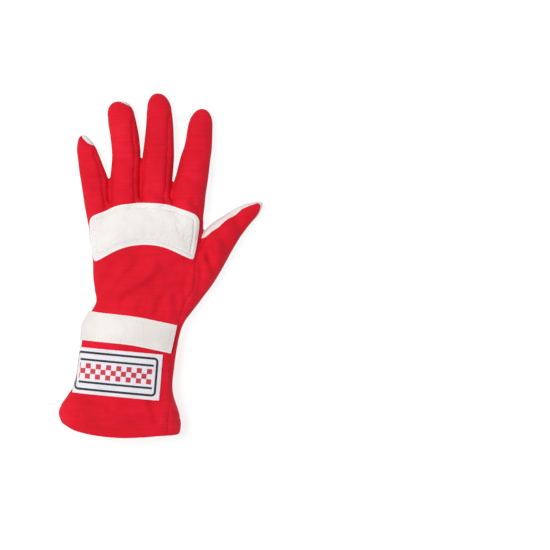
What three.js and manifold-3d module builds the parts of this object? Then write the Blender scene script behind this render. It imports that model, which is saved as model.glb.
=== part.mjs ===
// A left-hand motor racing glove that lies palm down and keeps its form, as a hollow sewn shell.
// Red knit covers the back, the finger sides and the gauntlet. Pale leather covers the palm.
// A padded leather patch crosses the knuckles, a leather strap closes the wrist,
// and a woven label sits on the gauntlet. +Y runs from the hem to the fingertips,
// +X towards the thumb and +Z up through the back of the hand. Lengths are in millimetres.
import * as THREE from "three";
import { mergeVertices } from "three/addons/utils/BufferGeometryUtils.js";
import Module from "manifold-3d";

const wasm = await Module();
wasm.setup();

// Lengths along the glove
const GAUNTLET_LENGTH = 94; // hem to the middle of the strap
const HAND_LENGTH = 113; // middle of the strap to the line of the finger roots
const LITTLE_LENGTH = 81;
const RING_LENGTH = 100;
const MIDDLE_LENGTH = 107;
const INDEX_LENGTH = 103;
const THUMB_LENGTH = 84;

// Widths of the digits at their fullest
const LITTLE_WIDTH = 25;
const RING_WIDTH = 27;
const MIDDLE_WIDTH = 28.5;
const INDEX_WIDTH = 30;
const THUMB_WIDTH = 31;
const HAND_SHARE = 0.91; // width of the hand against its four fingers side by side
const HAND_WIDTH = HAND_SHARE * (LITTLE_WIDTH + RING_WIDTH + MIDDLE_WIDTH + INDEX_WIDTH);

// Heights above the surface that the glove lies on
const HAND_HEIGHT = 31; // back of the hand
const MOUTH_HEIGHT = 40; // open end of the gauntlet

// Sheets and clearances
const WALL = 2; // knit or leather of the shell
const HEM_WALL = 3; // knit folded over at the hem
const HEM_HEIGHT = 14;
const SEAM_GAP = 0.3; // between panels sewn edge to edge
const SURFACE_GAP = 0.4; // under a piece that lies on the shell
const STRAP_WIDTH = 25.5;
const STRAP_THICKNESS = 2;
const PATCH_HEIGHT = 38; // across the knuckle patch at the middle finger
const PATCH_THICKNESS = 1.4; // where its edge is sewn down
const PATCH_PADDING = 2.2; // foam inside the seam
const PATCH_BORDER = 4.5; // from its edge to the seam
const LABEL_HEIGHT = 40.5;
const LABEL_THICKNESS = 1;

// Sides of the faceted rings, outside and in the hollow
const OUTSIDE = { hand: 28, digit: 14 };
const HOLLOW = { hand: 16, digit: 8 };
const TIP_STEPS = [0, 0.4, 0.7, 0.93]; // rings round a digit's tip, as shares of a quarter turn
const TIP_CLEAR = 0.05; // a row nearer to the tip's start than this share of the digit gives way to it
const HEM_STEP = 0.02; // the same for the sections beside the hem's upper edge, in along
const MITRE_LIMIT = 0.5; // cosine at which a mitred corner grows no longer
const SHARP_CORNER = 135; // degrees under which a corner of the patch is cut across

const radians = THREE.MathUtils.degToRad;
const clamp = THREE.MathUtils.clamp;

// Sections of the hand from the hem to the finger roots. along counts 0 to 1 over the gauntlet and
// 1 to 2 over the hand. centre, half and bow are shares of the hand's width, and bow carries the crown
// of a section towards the fingers. gauntlet is the share of the mouth's height, hand of the hand's
// height, and their sum is the crown. sole is a share of the hand's height, and lean is in degrees.
const HAND_SECTIONS = [
  { along: 0.088, centre: -0.223, half: 0.516, bow: -0.082, gauntlet: 1.0, hand: 0, sole: -0.05, lean: -6 },
  { along: 0.16, centre: -0.229, half: 0.531, bow: -0.07, gauntlet: 1.0, hand: 0, sole: -0.05, lean: -6 },
  { along: 0.235, centre: -0.224, half: 0.525, bow: -0.06, gauntlet: 0.98, hand: 0, sole: -0.05, lean: -6 },
  { along: 0.32, centre: -0.209, half: 0.49, bow: -0.04, gauntlet: 0.94, hand: 0, sole: -0.05, lean: -6 },
  { along: 0.425, centre: -0.196, half: 0.44, bow: -0.02, gauntlet: 0.9, hand: 0, sole: -0.03, lean: -6 },
  { along: 0.53, centre: -0.186, half: 0.416, bow: -0.01, gauntlet: 0.87, hand: 0, sole: 0, lean: -6 },
  { along: 0.7, centre: -0.166, half: 0.413, bow: 0, gauntlet: 0.83, hand: 0, sole: 0.08, lean: -6 },
  { along: 0.85, centre: -0.148, half: 0.413, bow: 0, gauntlet: 0.5, hand: 0.37, sole: 0.13, lean: -7 },
  { along: 1.0, centre: -0.117, half: 0.41, bow: 0, gauntlet: 0, hand: 0.98, sole: 0.14, lean: -7 },
  { along: 1.09, centre: -0.083, half: 0.41, bow: 0, gauntlet: 0, hand: 0.96, sole: 0.14, lean: -6 },
  { along: 1.195, centre: -0.015, half: 0.422, bow: 0, gauntlet: 0, hand: 0.95, sole: 0.08, lean: -4 },
  { along: 1.3, centre: 0.005, half: 0.453, bow: 0, gauntlet: 0, hand: 0.97, sole: 0, lean: -2 },
  { along: 1.425, centre: 0, half: 0.463, bow: 0, gauntlet: 0, hand: 1.0, sole: -0.04, lean: 0 },
  { along: 1.557, centre: 0.003, half: 0.47, bow: 0.01, gauntlet: 0, hand: 1.02, sole: -0.05, lean: 0 },
  { along: 1.68, centre: 0, half: 0.488, bow: 0.03, gauntlet: 0, hand: 1.02, sole: -0.05, lean: 0 },
  { along: 1.79, centre: 0.002, half: 0.498, bow: 0.05, gauntlet: 0, hand: 0.99, sole: -0.04, lean: 0 },
  { along: 1.865, centre: -0.002, half: 0.503, bow: 0.07, gauntlet: 0, hand: 0.93, sole: -0.02, lean: 0 },
  { along: 1.93, centre: -0.002, half: 0.495, bow: 0.085, gauntlet: 0, hand: 0.82, sole: 0.06, lean: 0 },
  { along: 1.955, centre: -0.002, half: 0.47, bow: 0.09, gauntlet: 0, hand: 0.66, sole: 0.18, lean: 0 },
];
const FOLDED = { from: 1.09, to: 1.68 }; // where further sections carry the folds of the back
const ROOTS = { from: 1.8, to: 1.9 }; // where the hand's end starts to move out with its surface
const WIDEST = 0.42; // how high in a section it is widest, from its sole to its crown
const CROWN_POWER = 2.35; // 2 rounds a section as an ellipse does, and more makes it squarer
const SOLE_POWER = 2.8;

// Valleys of the soft folds in the back, each from one point to another. across is a share of the
// hand's width, and width and depth are shares of the wall.
const FOLDS = [
  { across: 0.27, along: 1.5, toAcross: -0.14, toAlong: 1.24, width: 4, depth: 0.9 },
  { across: -0.16, along: 1.52, toAcross: -0.42, toAlong: 1.34, width: 3.5, depth: 0.5 },
  { across: 0.17, along: 1.3, toAcross: 0.1, toAlong: 1.13, width: 3, depth: 0.6 },
  { across: -0.34, along: 1.2, toAcross: -0.1, toAlong: 1.14, width: 3, depth: 0.5 },
  { across: -0.66, along: 0.34, toAcross: -0.3, toAlong: 0.26, width: 3.5, depth: 0.6 },
  { across: 0.06, along: 0.4, toAcross: 0.12, toAlong: 0.18, width: 3.5, depth: 0.6 },
];

// Roots of the digits across the hand. The middle finger and the thumb stand at shares of the hand's
// width, and each other finger at a share of its own and its neighbour's mean width.
const ROOT_SHARE = { little: 0.81, ring: 0.94, middle: 0.075, index: 0.947, thumb: 0.463 };
const MIDDLE_X = ROOT_SHARE.middle * HAND_WIDTH;
const RING_X = MIDDLE_X - (ROOT_SHARE.ring * (MIDDLE_WIDTH + RING_WIDTH)) / 2;
const LITTLE_X = RING_X - (ROOT_SHARE.little * (RING_WIDTH + LITTLE_WIDTH)) / 2;
const INDEX_X = MIDDLE_X + (ROOT_SHARE.index * (MIDDLE_WIDTH + INDEX_WIDTH)) / 2;
const THUMB_X = ROOT_SHARE.thumb * HAND_WIDTH;

// The digits. x and along place a root, and lean turns the digit from +Y towards the thumb, in degrees.
// In its rows, at counts 0 to 1 from root to tip, shift and half are shares of its width, and top and
// sole of the hand's height. tip is where it starts to close, and tipPower is how square the tip is.

const DIGITS = {
  little: {
    length: LITTLE_LENGTH, width: LITTLE_WIDTH, x: LITTLE_X,
    along: 1.827, lean: -12.4, tip: 0.8, tipPower: 1.9,
    rows: [
      { at: -0.3, shift: 0.05, half: 0.4, top: 0.72, sole: 0.1 },
      { at: 0, shift: 0, half: 0.44, top: 0.84, sole: -0.03 },
      { at: 0.245, shift: 0.02, half: 0.44, top: 0.78, sole: 0.02 },
      { at: 0.45, shift: 0.1, half: 0.48, top: 0.68, sole: 0.05 },
      { at: 0.64, shift: 0.08, half: 0.42, top: 0.59, sole: 0.03 },
      { at: 0.8, shift: 0.06, half: 0.365, top: 0.5, sole: -0.03 },
      { at: 1, shift: 0, half: 0.28, top: 0.4, sole: -0.03 },
    ],
  },
  ring: {
    length: RING_LENGTH, width: RING_WIDTH, x: RING_X,
    along: 1.904, lean: -3, tip: 0.88, tipPower: 2.5,
    rows: [
      { at: -0.3, shift: 0.04, half: 0.46, top: 0.8, sole: 0.1 },
      { at: 0, shift: 0.02, half: 0.49, top: 0.92, sole: -0.03 },
      { at: 0.3, shift: 0.06, half: 0.49, top: 0.8, sole: 0.04 },
      { at: 0.52, shift: 0.15, half: 0.475, top: 0.7, sole: 0.07 },
      { at: 0.68, shift: 0.12, half: 0.465, top: 0.63, sole: 0.05 },
      { at: 0.84, shift: 0.05, half: 0.45, top: 0.55, sole: -0.02 },
      { at: 1, shift: 0, half: 0.39, top: 0.46, sole: -0.03 },
    ],
  },
  middle: {
    length: MIDDLE_LENGTH, width: MIDDLE_WIDTH, x: MIDDLE_X,
    along: 1.904, lean: 1.5, tip: 0.86, tipPower: 2.2,
    rows: [
      { at: -0.3, shift: 0, half: 0.45, top: 0.82, sole: 0.1 },
      { at: 0, shift: 0, half: 0.47, top: 0.94, sole: -0.03 },
      { at: 0.205, shift: 0.015, half: 0.468, top: 0.86, sole: 0.02 },
      { at: 0.41, shift: 0.055, half: 0.495, top: 0.78, sole: 0.07 },
      { at: 0.557, shift: 0.075, half: 0.463, top: 0.71, sole: 0.08 },
      { at: 0.737, shift: 0.08, half: 0.414, top: 0.61, sole: 0.03 },
      { at: 0.877, shift: 0.055, half: 0.38, top: 0.54, sole: -0.03 },
      { at: 1, shift: 0, half: 0.34, top: 0.47, sole: -0.03 },
    ],
  },
  index: {
    length: INDEX_LENGTH, width: INDEX_WIDTH, x: INDEX_X,
    along: 1.827, lean: 8.4, tip: 0.85, tipPower: 2.1,
    rows: [
      { at: -0.3, shift: -0.03, half: 0.45, top: 0.8, sole: 0.1 },
      { at: 0, shift: -0.01, half: 0.475, top: 0.92, sole: -0.03 },
      { at: 0.13, shift: -0.02, half: 0.482, top: 0.88, sole: 0 },
      { at: 0.283, shift: -0.05, half: 0.49, top: 0.83, sole: 0.04 },
      { at: 0.413, shift: -0.035, half: 0.475, top: 0.77, sole: 0.07 },
      { at: 0.552, shift: -0.015, half: 0.44, top: 0.7, sole: 0.08 },
      { at: 0.674, shift: 0.015, half: 0.4, top: 0.63, sole: 0.06 },
      { at: 0.862, shift: -0.005, half: 0.358, top: 0.54, sole: -0.03 },
      { at: 1, shift: 0, half: 0.32, top: 0.46, sole: -0.03 },
    ],
  },
  thumb: {
    length: THUMB_LENGTH, width: THUMB_WIDTH, x: THUMB_X,
    along: 1.437, lean: 41, tip: 0.84, tipPower: 1.8,
    rows: [
      { at: -0.42, shift: 0.3, half: 0.26, top: 0.74, sole: 0.1 },
      { at: -0.19, shift: 0.1, half: 0.42, top: 0.86, sole: 0 },
      { at: 0, shift: 0, half: 0.485, top: 0.86, sole: -0.03 },
      { at: 0.227, shift: -0.12, half: 0.5, top: 0.8, sole: -0.03 },
      { at: 0.444, shift: -0.22, half: 0.475, top: 0.73, sole: 0.02 },
      { at: 0.673, shift: -0.19, half: 0.355, top: 0.63, sole: 0.05 },
      { at: 0.857, shift: -0.1, half: 0.265, top: 0.54, sole: 0.02 },
      { at: 1, shift: 0, half: 0.18, top: 0.46, sole: 0 },
    ],
  },
};
const DIGIT_POWER = 2.25;
const NEIGHBOURS = [
  [DIGITS.little, DIGITS.ring],
  [DIGITS.ring, DIGITS.middle],
  [DIGITS.middle, DIGITS.index],
];

// Height of the palm seam, as shares of the mouth's and the hand's height
const PALM_SEAM = [
  { along: -0.4, mouth: 0.4, hand: 0 },
  { along: 0.3, mouth: 0.38, hand: 0 },
  { along: 1, mouth: 0, hand: 0.45 },
  { along: 1.4, mouth: 0, hand: 0.36 },
  { along: 1.85, mouth: 0, hand: 0.34 },
  { along: 2.2, mouth: 0, hand: 0.32 },
  { along: 2.6, mouth: 0, hand: 0.27 },
  { along: 3.6, mouth: 0, hand: 0.22 },
];

// The long seam from the thumb's crotch to the hem. across is a share of the section's half width.
const SIDE_SEAM = [
  { along: 1.715, across: 1.03 },
  { along: 1.6, across: 0.95 },
  { along: 1.5, across: 0.92 },
  { along: 1.34, across: 0.91 },
  { along: 1.22, across: 0.82 },
  { along: 1.13, across: 0.9 },
  { along: 1.05, across: 0.96 },
  { along: 0.76, across: 0.93 },
  { along: 0.35, across: 0.87 },
  { along: 0, across: 0.81 },
];

// Seams on the digits. across is a share of the digit's half width there, positive towards the thumb.
const FOURCHETTE_SEAM = [
  { at: 0.06, across: 0.74 },
  { at: 0.14, across: 0.66 },
  { at: 0.3, across: 0.63 },
  { at: 0.55, across: 0.62 },
  { at: 0.78, across: 0.7 },
  { at: 0.88, across: 1.15 },
];
const FOURCHETTE_FAR = -0.9; // the same seam on the next finger's near side
const CROTCH = 0.03; // where the strip turns round between two fingers
const THUMB_SEAM = [
  { at: 0.3, across: -0.93 },
  { at: 0.365, across: -0.7 },
  { at: 0.5, across: -0.58 },
  { at: 0.7, across: -0.55 },
  { at: 0.86, across: -0.59 },
  { at: 0.975, across: -0.3 },
];
const THUMB_FREE_SIDE = [
  { at: 1.06, across: -0.5 },
  { at: 1.06, across: -3 },
  { at: 0.7, across: -1.6 },
  { at: 0.46, across: -1.22 },
  { at: 0.37, across: -1.03 },
];
const LITTLE_SEAM = [
  { at: 1.03, across: -0.5 },
  { at: 0.975, across: -0.1 },
  { at: 0.935, across: 0.05 },
  { at: 0.895, across: 0.4 },
  { at: 0.84, across: 1.1 },
  { at: 0.84, across: 1.6 },
  { at: 1.03, across: 1.6 },
];
const RING_SEAM = [
  { at: 1.02, across: 0.1 },
  { at: 0.985, across: 0.2 },
  { at: 0.965, across: 0.8 },
  { at: 0.93, across: 1.1 },
  { at: 0.93, across: 1.4 },
  { at: 1.02, across: 1.4 },
];

// Where the stalls of the fingers are sewn on, from their crotches to past their tips, and the thumb's
const STALL_STEPS = [CROTCH, 0.14, 0.4, 0.7, 1.3];
const STALL_OUTER = 1.15; // their free side, as a share of the half width
const THUMB_ROOT = [
  { at: 0.3, across: -0.96 },
  { at: -0.04, across: 1.25 },
  { at: 1.2, across: 2 },
];

// The knuckle patch's upper edge, and its height there as a share of PATCH_HEIGHT. across is a share of
// the hand's width from the hand's middle line.
const PATCH_EDGE = [
  { across: -0.485, along: 1.862, height: 0.96 },
  { across: -0.34, along: 1.935, height: 1.06 },
  { across: -0.2, along: 1.99, height: 1.06 },
  { across: 0, along: 2.006, height: 1.01 },
  { across: 0.2, along: 1.986, height: 1.05 },
  { across: 0.34, along: 1.945, height: 1.08 },
  { across: 0.455, along: 1.88, height: 0.98 },
];
const PATCH_STEPS = [
  { inset: 1, rise: 0.6 },
  { inset: 1.6, rise: 1 },
]; // how its padding rises inwards from the seam, as shares of PATCH_BORDER and PATCH_PADDING
const PATCH_TAPER = 0.93; // width of its lower edge against its upper edge
const PATCH_LOW_EDGE = 0.45; // height where it ends round the side, as a share of HAND_HEIGHT

// Middle lines of the bands across the wrist and the gauntlet, from the little finger's side
const STRAP_LINE = [
  { across: -0.68, along: 1.055 },
  { across: -0.45, along: 1.03 },
  { across: -0.13, along: 1.0 },
  { across: 0.08, along: 0.965 },
  { across: 0.24, along: 0.92 },
];
const STRAP_SEWN_END = 0.02; // where the strap's other end is sewn down under the wrist
const LABEL_LINE = [
  { across: -0.85, along: 0.665 },
  { across: 0.131, along: 0.562 },
];
const LABEL_LOW_EDGE = 0.42; // height where the label ends round the side, as a share of MOUTH_HEIGHT

// A smooth curve through a table's rows: the value in column key at x in column by
function smooth(rows, by, key, x) {
  let i = 0;
  while (i < rows.length - 2 && x > rows[i + 1][by]) i++;
  const slope = (j) => {
    const [low, high] = [rows[Math.max(j - 1, 0)], rows[Math.min(j + 1, rows.length - 1)]];
    return (high[key] - low[key]) / (high[by] - low[by]);
  };
  const [from, to] = [rows[i], rows[i + 1]];
  const span = to[by] - from[by];
  const t = clamp((x - from[by]) / span, 0, 1);
  const ease = t * t * (3 - 2 * t);
  const leave = t * (1 - t) * (1 - t) * slope(i) * span;
  const arrive = t * t * (t - 1) * slope(i + 1) * span;
  return from[key] * (1 - ease) + to[key] * ease + leave + arrive;
}

const rounded = (value, power) => Math.sign(value) * Math.abs(value) ** (2 / power);
const alongToY = (along) => GAUNTLET_LENGTH * Math.min(along, 1) + HAND_LENGTH * Math.max(along - 1, 0);
const inHand = (row) => new THREE.Vector2(row.across * HAND_WIDTH, alongToY(row.along));

// How deep the folds press the back at a point
function foldDepth(x, y) {
  let depth = 0;
  for (const fold of FOLDS) {
    const start = inHand(fold);
    const run = inHand({ across: fold.toAcross, along: fold.toAlong }).sub(start);
    const from = new THREE.Vector2(x, y).sub(start);
    const t = clamp(from.dot(run) / run.lengthSq(), 0, 1);
    const away = from.distanceTo(run.multiplyScalar(t)) / (fold.width * WALL);
    depth += fold.depth * WALL * Math.exp(-away * away);
  }
  return depth;
}

// A point on a section of the hand, at an angle from the thumb's side up over the crown. offset moves
// the surface out from the shell's outer face.
function handPoint(angle, along, offset) {
  const at = (key) => smooth(HAND_SECTIONS, "along", key, along);
  const [cos, sin] = [Math.cos(angle), Math.sin(angle)];
  const top = at("gauntlet") * MOUTH_HEIGHT + at("hand") * HAND_HEIGHT;
  const sole = at("sole") * HAND_HEIGHT;
  const middle = sole + WIDEST * (top - sole);
  const power = sin > 0 ? CROWN_POWER : SOLE_POWER;
  const side = (at("half") * HAND_WIDTH + offset) * rounded(cos, power);
  const reach = sin > 0 ? top - middle : middle - sole;
  const x = at("centre") * HAND_WIDTH + side;
  const bow = at("bow") * HAND_WIDTH * sin * sin;
  const closing = THREE.MathUtils.smoothstep(along, ROOTS.from, ROOTS.to) * offset;
  const y = alongToY(along) + bow + side * Math.tan(radians(at("lean"))) + closing;
  const z = middle + (reach + offset) * rounded(sin, power) - Math.max(sin, 0) * foldDepth(x, y);
  return new THREE.Vector3(x, y, z);
}

// A point on a ring of a digit, at an angle from its thumb side up over its back
function digitPoint(digit, angle, at, offset) {
  const value = (key) => smooth(digit.rows, "at", key, at);
  const closing = clamp((at - digit.tip) / (1 - digit.tip), 0, 1);
  const fullness = (1 - closing ** digit.tipPower) ** (1 / digit.tipPower);
  const [top, sole] = [value("top") * HAND_HEIGHT, value("sole") * HAND_HEIGHT];
  const middle = sole + WIDEST * (top - sole);
  const reach = Math.sin(angle) > 0 ? top - middle : middle - sole;
  const side = (value("half") * digit.width + offset) * fullness * rounded(Math.cos(angle), DIGIT_POWER);
  const lift = (reach + offset) * fullness * rounded(Math.sin(angle), DIGIT_POWER);
  const plan = onDigit(digit, at, 0, offset).add(acrossDigit(digit).multiplyScalar(side));
  return new THREE.Vector3(plan.x, plan.y, middle + lift);
}

function acrossDigit(digit) {
  const lean = radians(digit.lean);
  return new THREE.Vector2(Math.cos(lean), -Math.sin(lean));
}

// A point of a digit in plan: across is a share of its half width there
function onDigit(digit, at, across, offset = 0) {
  const half = smooth(digit.rows, "at", "half", at) * digit.width;
  const shift = smooth(digit.rows, "at", "shift", at) * digit.width + across * half;
  const reach = at * (digit.length + (at > 0 ? offset : 0));
  const lean = radians(digit.lean);
  return new THREE.Vector2(digit.x, alongToY(digit.along))
    .add(new THREE.Vector2(Math.sin(lean), Math.cos(lean)).multiplyScalar(reach))
    .add(acrossDigit(digit).multiplyScalar(shift));
}

// Solids
function solidFromGeometry(geometry) {
  geometry.deleteAttribute("normal");
  geometry.deleteAttribute("uv");
  const merged = mergeVertices(geometry, 1e-4);
  const triVerts = new Uint32Array(merged.index.array);
  const vertProperties = new Float32Array(merged.attributes.position.array);
  return new wasm.Manifold(new wasm.Mesh({ numProp: 3, vertProperties, triVerts }));
}

// A closed solid through rings of points that run anticlockwise as seen from the last ring
function solidFromRings(rings) {
  const count = rings[0].length;
  const points = rings.flat();
  const middle = (ring) => ring.reduce((sum, p) => sum.add(p), new THREE.Vector3()).divideScalar(count);
  const first = points.push(middle(rings[0])) - 1;
  const last = points.push(middle(rings.at(-1))) - 1;
  const end = (rings.length - 1) * count;
  const faces = [];
  for (let i = 0; i < count; i++) {
    const next = (i + 1) % count;
    for (let row = 0; row < end; row += count) {
      faces.push(row + i, row + count + i, row + next);
      faces.push(row + next, row + count + i, row + count + next);
    }
    faces.push(first, i, next, last, end + next, end + i);
  }
  return solidFromGeometry(new THREE.BufferGeometry().setFromPoints(points).setIndex(faces));
}

const ring = (sides, pointAt) => Array.from({ length: sides }, (_, i) => pointAt((2 * Math.PI * i) / sides));

// The hand and the gauntlet, with further sections on the back of the hand for the folds
function handSolid(offset) {
  const stations = HAND_SECTIONS.map((row) => row.along);
  const between = stations.slice(1).map((along, i) => (along + stations[i]) / 2);
  stations.push(...between.filter((along) => along > FOLDED.from && along < FOLDED.to));
  stations.sort((one, two) => one - two);
  return solidFromRings(
    stations.map((along) => ring(OUTSIDE.hand, (angle) => handPoint(angle, along, offset))),
  );
}

// The room inside them, narrower in the folded hem and carried out through the mouth
function handHollow() {
  const hem = HAND_SECTIONS[0].along + HEM_HEIGHT / GAUNTLET_LENGTH;
  const rows = HAND_SECTIONS.map((row) => row.along);
  const clear = rows.filter((along) => Math.abs(along - hem) > HEM_STEP);
  const stations = [...clear, hem, hem + HEM_STEP / 2].sort((one, two) => one - two);
  const wallAt = (along) => (along > hem ? WALL : HEM_WALL);
  const rings = stations.map((along) =>
    ring(HOLLOW.hand, (angle) => handPoint(angle, along, -wallAt(along))),
  );
  rings.unshift(rings[0].map((point) => point.clone().setY(point.y - HEM_HEIGHT)));
  return solidFromRings(rings);
}

// A digit, with sections closer together where its tip rounds off
function digitSolid(digit, offset, sides = OUTSIDE.digit) {
  const stations = digit.rows.map((row) => row.at).filter((at) => at < digit.tip - TIP_CLEAR);
  for (const step of TIP_STEPS) {
    stations.push(digit.tip + (1 - digit.tip) * Math.sin((step * Math.PI) / 2));
  }
  return solidFromRings(stations.map((at) => ring(sides, (angle) => digitPoint(digit, angle, at, offset))));
}

const FAR = 3 * (GAUNTLET_LENGTH + HAND_LENGTH); // beyond the glove on every side

// Everything above a height
function above(height) {
  const box = new THREE.BoxGeometry(2 * FAR, 2 * FAR, FAR).translate(0, 0, height + FAR / 2);
  return solidFromGeometry(box);
}

// The glove's whole form with its surface moved by offset
function form(offset) {
  return Object.values(DIGITS).reduce((sum, digit) => sum.add(digitSolid(digit, offset)), handSolid(offset));
}

// Upright solids over an outline in plan, and the outline moved outwards
function prism(outline) {
  const shape = new THREE.Shape(outline);
  const geometry = new THREE.ExtrudeGeometry(shape, { depth: FAR, bevelEnabled: false });
  return solidFromGeometry(geometry.translate(0, 0, -FAR / 2));
}

function moved(outline, distance) {
  const turn = Math.sign(THREE.ShapeUtils.area(outline));
  return outline.map((point, i) => {
    const before = outline[(i + outline.length - 1) % outline.length];
    const after = outline[(i + 1) % outline.length];
    const side = (from, to) => new THREE.Vector2(to.y - from.y, from.x - to.x).normalize();
    const [one, two] = [side(before, point), side(point, after)];
    const mitre = one.clone().add(two).normalize();
    return point.clone().add(mitre.multiplyScalar((turn * distance) / Math.max(mitre.dot(one), MITRE_LIMIT)));
  });
}

// An outline with each sharp corner cut across at a distance from it
function softened(outline, radius) {
  return outline.flatMap((point, i) => {
    const before = outline[(i + outline.length - 1) % outline.length];
    const after = outline[(i + 1) % outline.length];
    const [one, two] = [before.clone().sub(point), after.clone().sub(point)];
    if (one.angleTo(two) > radians(SHARP_CORNER)) return [point];
    return [point.clone().add(one.setLength(radius)), point.clone().add(two.setLength(radius))];
  });
}

// Zones of the shell that its panels take
const palmSeamHeight = (row) => row.mouth * MOUTH_HEIGHT + row.hand * HAND_HEIGHT;

function lowZone(grow) {
  const points = PALM_SEAM.map((row) => new THREE.Vector2(alongToY(row.along), palmSeamHeight(row) + grow));
  const shape = new THREE.Shape([
    new THREE.Vector2(points[0].x, -FAR), ...points, new THREE.Vector2(points.at(-1).x, -FAR),
  ].reverse());
  const geometry = new THREE.ExtrudeGeometry(shape, { depth: 2 * FAR, bevelEnabled: false });
  const alongX = new THREE.Matrix4().makeBasis(
    new THREE.Vector3(0, 1, 0), new THREE.Vector3(0, 0, 1), new THREE.Vector3(1, 0, 0),
  );
  return solidFromGeometry(geometry.translate(0, 0, -FAR).applyMatrix4(alongX));
}

function digitOutline(digit, ...tables) {
  return tables.flat().map((row) => onDigit(digit, row.at, row.across));
}

function turnedUpZone(grow) {
  const outlines = [
    digitOutline(DIGITS.thumb, THUMB_SEAM, THUMB_FREE_SIDE),
    digitOutline(DIGITS.little, LITTLE_SEAM),
    digitOutline(DIGITS.ring, RING_SEAM),
  ];
  return outlines.map((outline) => prism(moved(outline, grow))).reduce((sum, solid) => sum.add(solid));
}

function fourchetteZone(near, far, grow) {
  const nearSeam = digitOutline(near, FOURCHETTE_SEAM).reverse();
  const farSeam = FOURCHETTE_SEAM.map((row) => onDigit(far, row.at, FOURCHETTE_FAR));
  const crotch = onDigit(near, CROTCH, 1).add(onDigit(far, CROTCH, -1)).multiplyScalar(0.5);
  return prism(moved([...nearSeam, crotch, ...farSeam], grow));
}

function sideZone(grow) {
  const seam = SIDE_SEAM.map((row) => {
    const at = (key) => smooth(HAND_SECTIONS, "along", key, row.along);
    return new THREE.Vector2((at("centre") + row.across * at("half")) * HAND_WIDTH, alongToY(row.along));
  });
  const [top, bottom] = [seam[0], seam.at(-1)];
  const outline = [
    new THREE.Vector2(bottom.x, -FAR), new THREE.Vector2(FAR, -FAR),
    new THREE.Vector2(FAR, top.y + FAR), new THREE.Vector2(top.x + THUMB_WIDTH, top.y + THUMB_WIDTH),
    ...seam,
  ];
  return prism(moved(outline, grow));
}

// The plan outline of a band of a width along a table's middle line
function bandOutline(line, width) {
  const points = line.map(inHand);
  const edges = [-0.5, 0.5].map((share) =>
    points.map((point, i) => {
      const [from, to] = [points[Math.max(i - 1, 0)], points[Math.min(i + 1, points.length - 1)]];
      return new THREE.Vector2(from.y - to.y, to.x - from.x).setLength(share * width).add(point);
    }),
  );
  return [...edges[0], ...edges[1].reverse()];
}

function patchOutline() {
  const top = PATCH_EDGE.map(inHand);
  const bottom = PATCH_EDGE.map((row, i) =>
    new THREE.Vector2(top[i].x * PATCH_TAPER, top[i].y - row.height * PATCH_HEIGHT),
  );
  return [...bottom, ...top.reverse()];
}

// A sheet of a thickness that lies on the glove inside an outline
function sheetOn(outline, thickness) {
  const sheet = form(SURFACE_GAP + thickness).subtract(form(SURFACE_GAP));
  return sheet.intersect(prism(outline));
}

// What lies towards the hem from the wrist seam, which runs under the strap
function cuffZone(grow) {
  const seam = STRAP_LINE.map(inHand);
  const [first, last] = [seam[0], seam.at(-1)];
  const run = last.clone().sub(first).setLength(FAR);
  const outline = [
    new THREE.Vector2(first.x - FAR, -FAR), new THREE.Vector2(last.x + FAR, -FAR),
    last.clone().add(run), ...seam.reverse(), first.clone().sub(run),
  ];
  return prism(moved(outline, grow));
}

// The stalls beyond the roots, each parted from the next half way between the two digits
function stallZones(grow) {
  const { little, index, thumb } = DIGITS;
  const halfway = (near, far, at) => onDigit(near, at, 1).add(onDigit(far, at, -1)).multiplyScalar(0.5);
  const edges = [
    STALL_STEPS.map((at) => onDigit(little, at, -STALL_OUTER)),
    ...NEIGHBOURS.map(([near, far]) => STALL_STEPS.map((at) => halfway(near, far, at))),
    STALL_STEPS.map((at) => onDigit(index, at, STALL_OUTER)),
  ];
  const outlines = edges.slice(1).map((edge, i) => [...edge, ...edges[i].toReversed()]);
  outlines.push(digitOutline(thumb, THUMB_ROOT, THUMB_FREE_SIDE.slice(1)));
  return outlines.map((outline) => prism(moved(outline, grow)));
}

function zones(grow) {
  return {
    low: lowZone(grow),
    turnedUp: turnedUpZone(grow),
    side: sideZone(grow),
    cuff: cuffZone(grow),
    gaps: NEIGHBOURS.map(([near, far]) => fourchetteZone(near, far, grow)),
    stalls: stallZones(grow),
  };
}

// The shell and its panels, each kept half a seam's gap inside its own zone
const outer = form(0).intersect(above(0));
const hollow = Object.values(DIGITS)
  .reduce((sum, digit) => sum.add(digitSolid(digit, -WALL, HOLLOW.digit)), handHollow())
  .intersect(above(WALL));
const shell = outer.subtract(hollow);
const own = zones(-SEAM_GAP / 2);
const kept = zones(SEAM_GAP / 2);

const upper = shell.subtract(kept.low.add(kept.turnedUp));
const fourchettes = own.gaps.map((gap) => upper.intersect(gap));
const without = (solid, parts) => parts.reduce((rest, part) => rest.subtract(part), solid);
const back = without(upper.subtract(kept.side), kept.gaps);
const front = shell.intersect(own.low.add(own.turnedUp)).subtract(kept.cuff);
const fingerZones = own.stalls.slice(0, -1);
const backStalls = fingerZones.map((zone) => back.intersect(zone));
const frontStalls = own.stalls.map((zone) => front.intersect(zone));
const hand = without(back, kept.stalls.slice(0, -1));
const palm = without(front, kept.stalls);
const thumb = upper.intersect(own.side).subtract(kept.cuff);
const cuff = shell.intersect(own.low.add(own.side)).intersect(own.cuff);

// The pieces that lie on the shell
function knucklePatch() {
  const outline = patchOutline();
  const padding = PATCH_STEPS.map((step) =>
    sheetOn(moved(outline, -step.inset * PATCH_BORDER), PATCH_THICKNESS + step.rise * PATCH_PADDING),
  );
  const leather = sheetOn(softened(outline, PATCH_BORDER), PATCH_THICKNESS);
  const patch = padding.reduce((sum, layer) => sum.add(layer), leather);
  return patch.intersect(above(PATCH_LOW_EDGE * HAND_HEIGHT));
}

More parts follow.
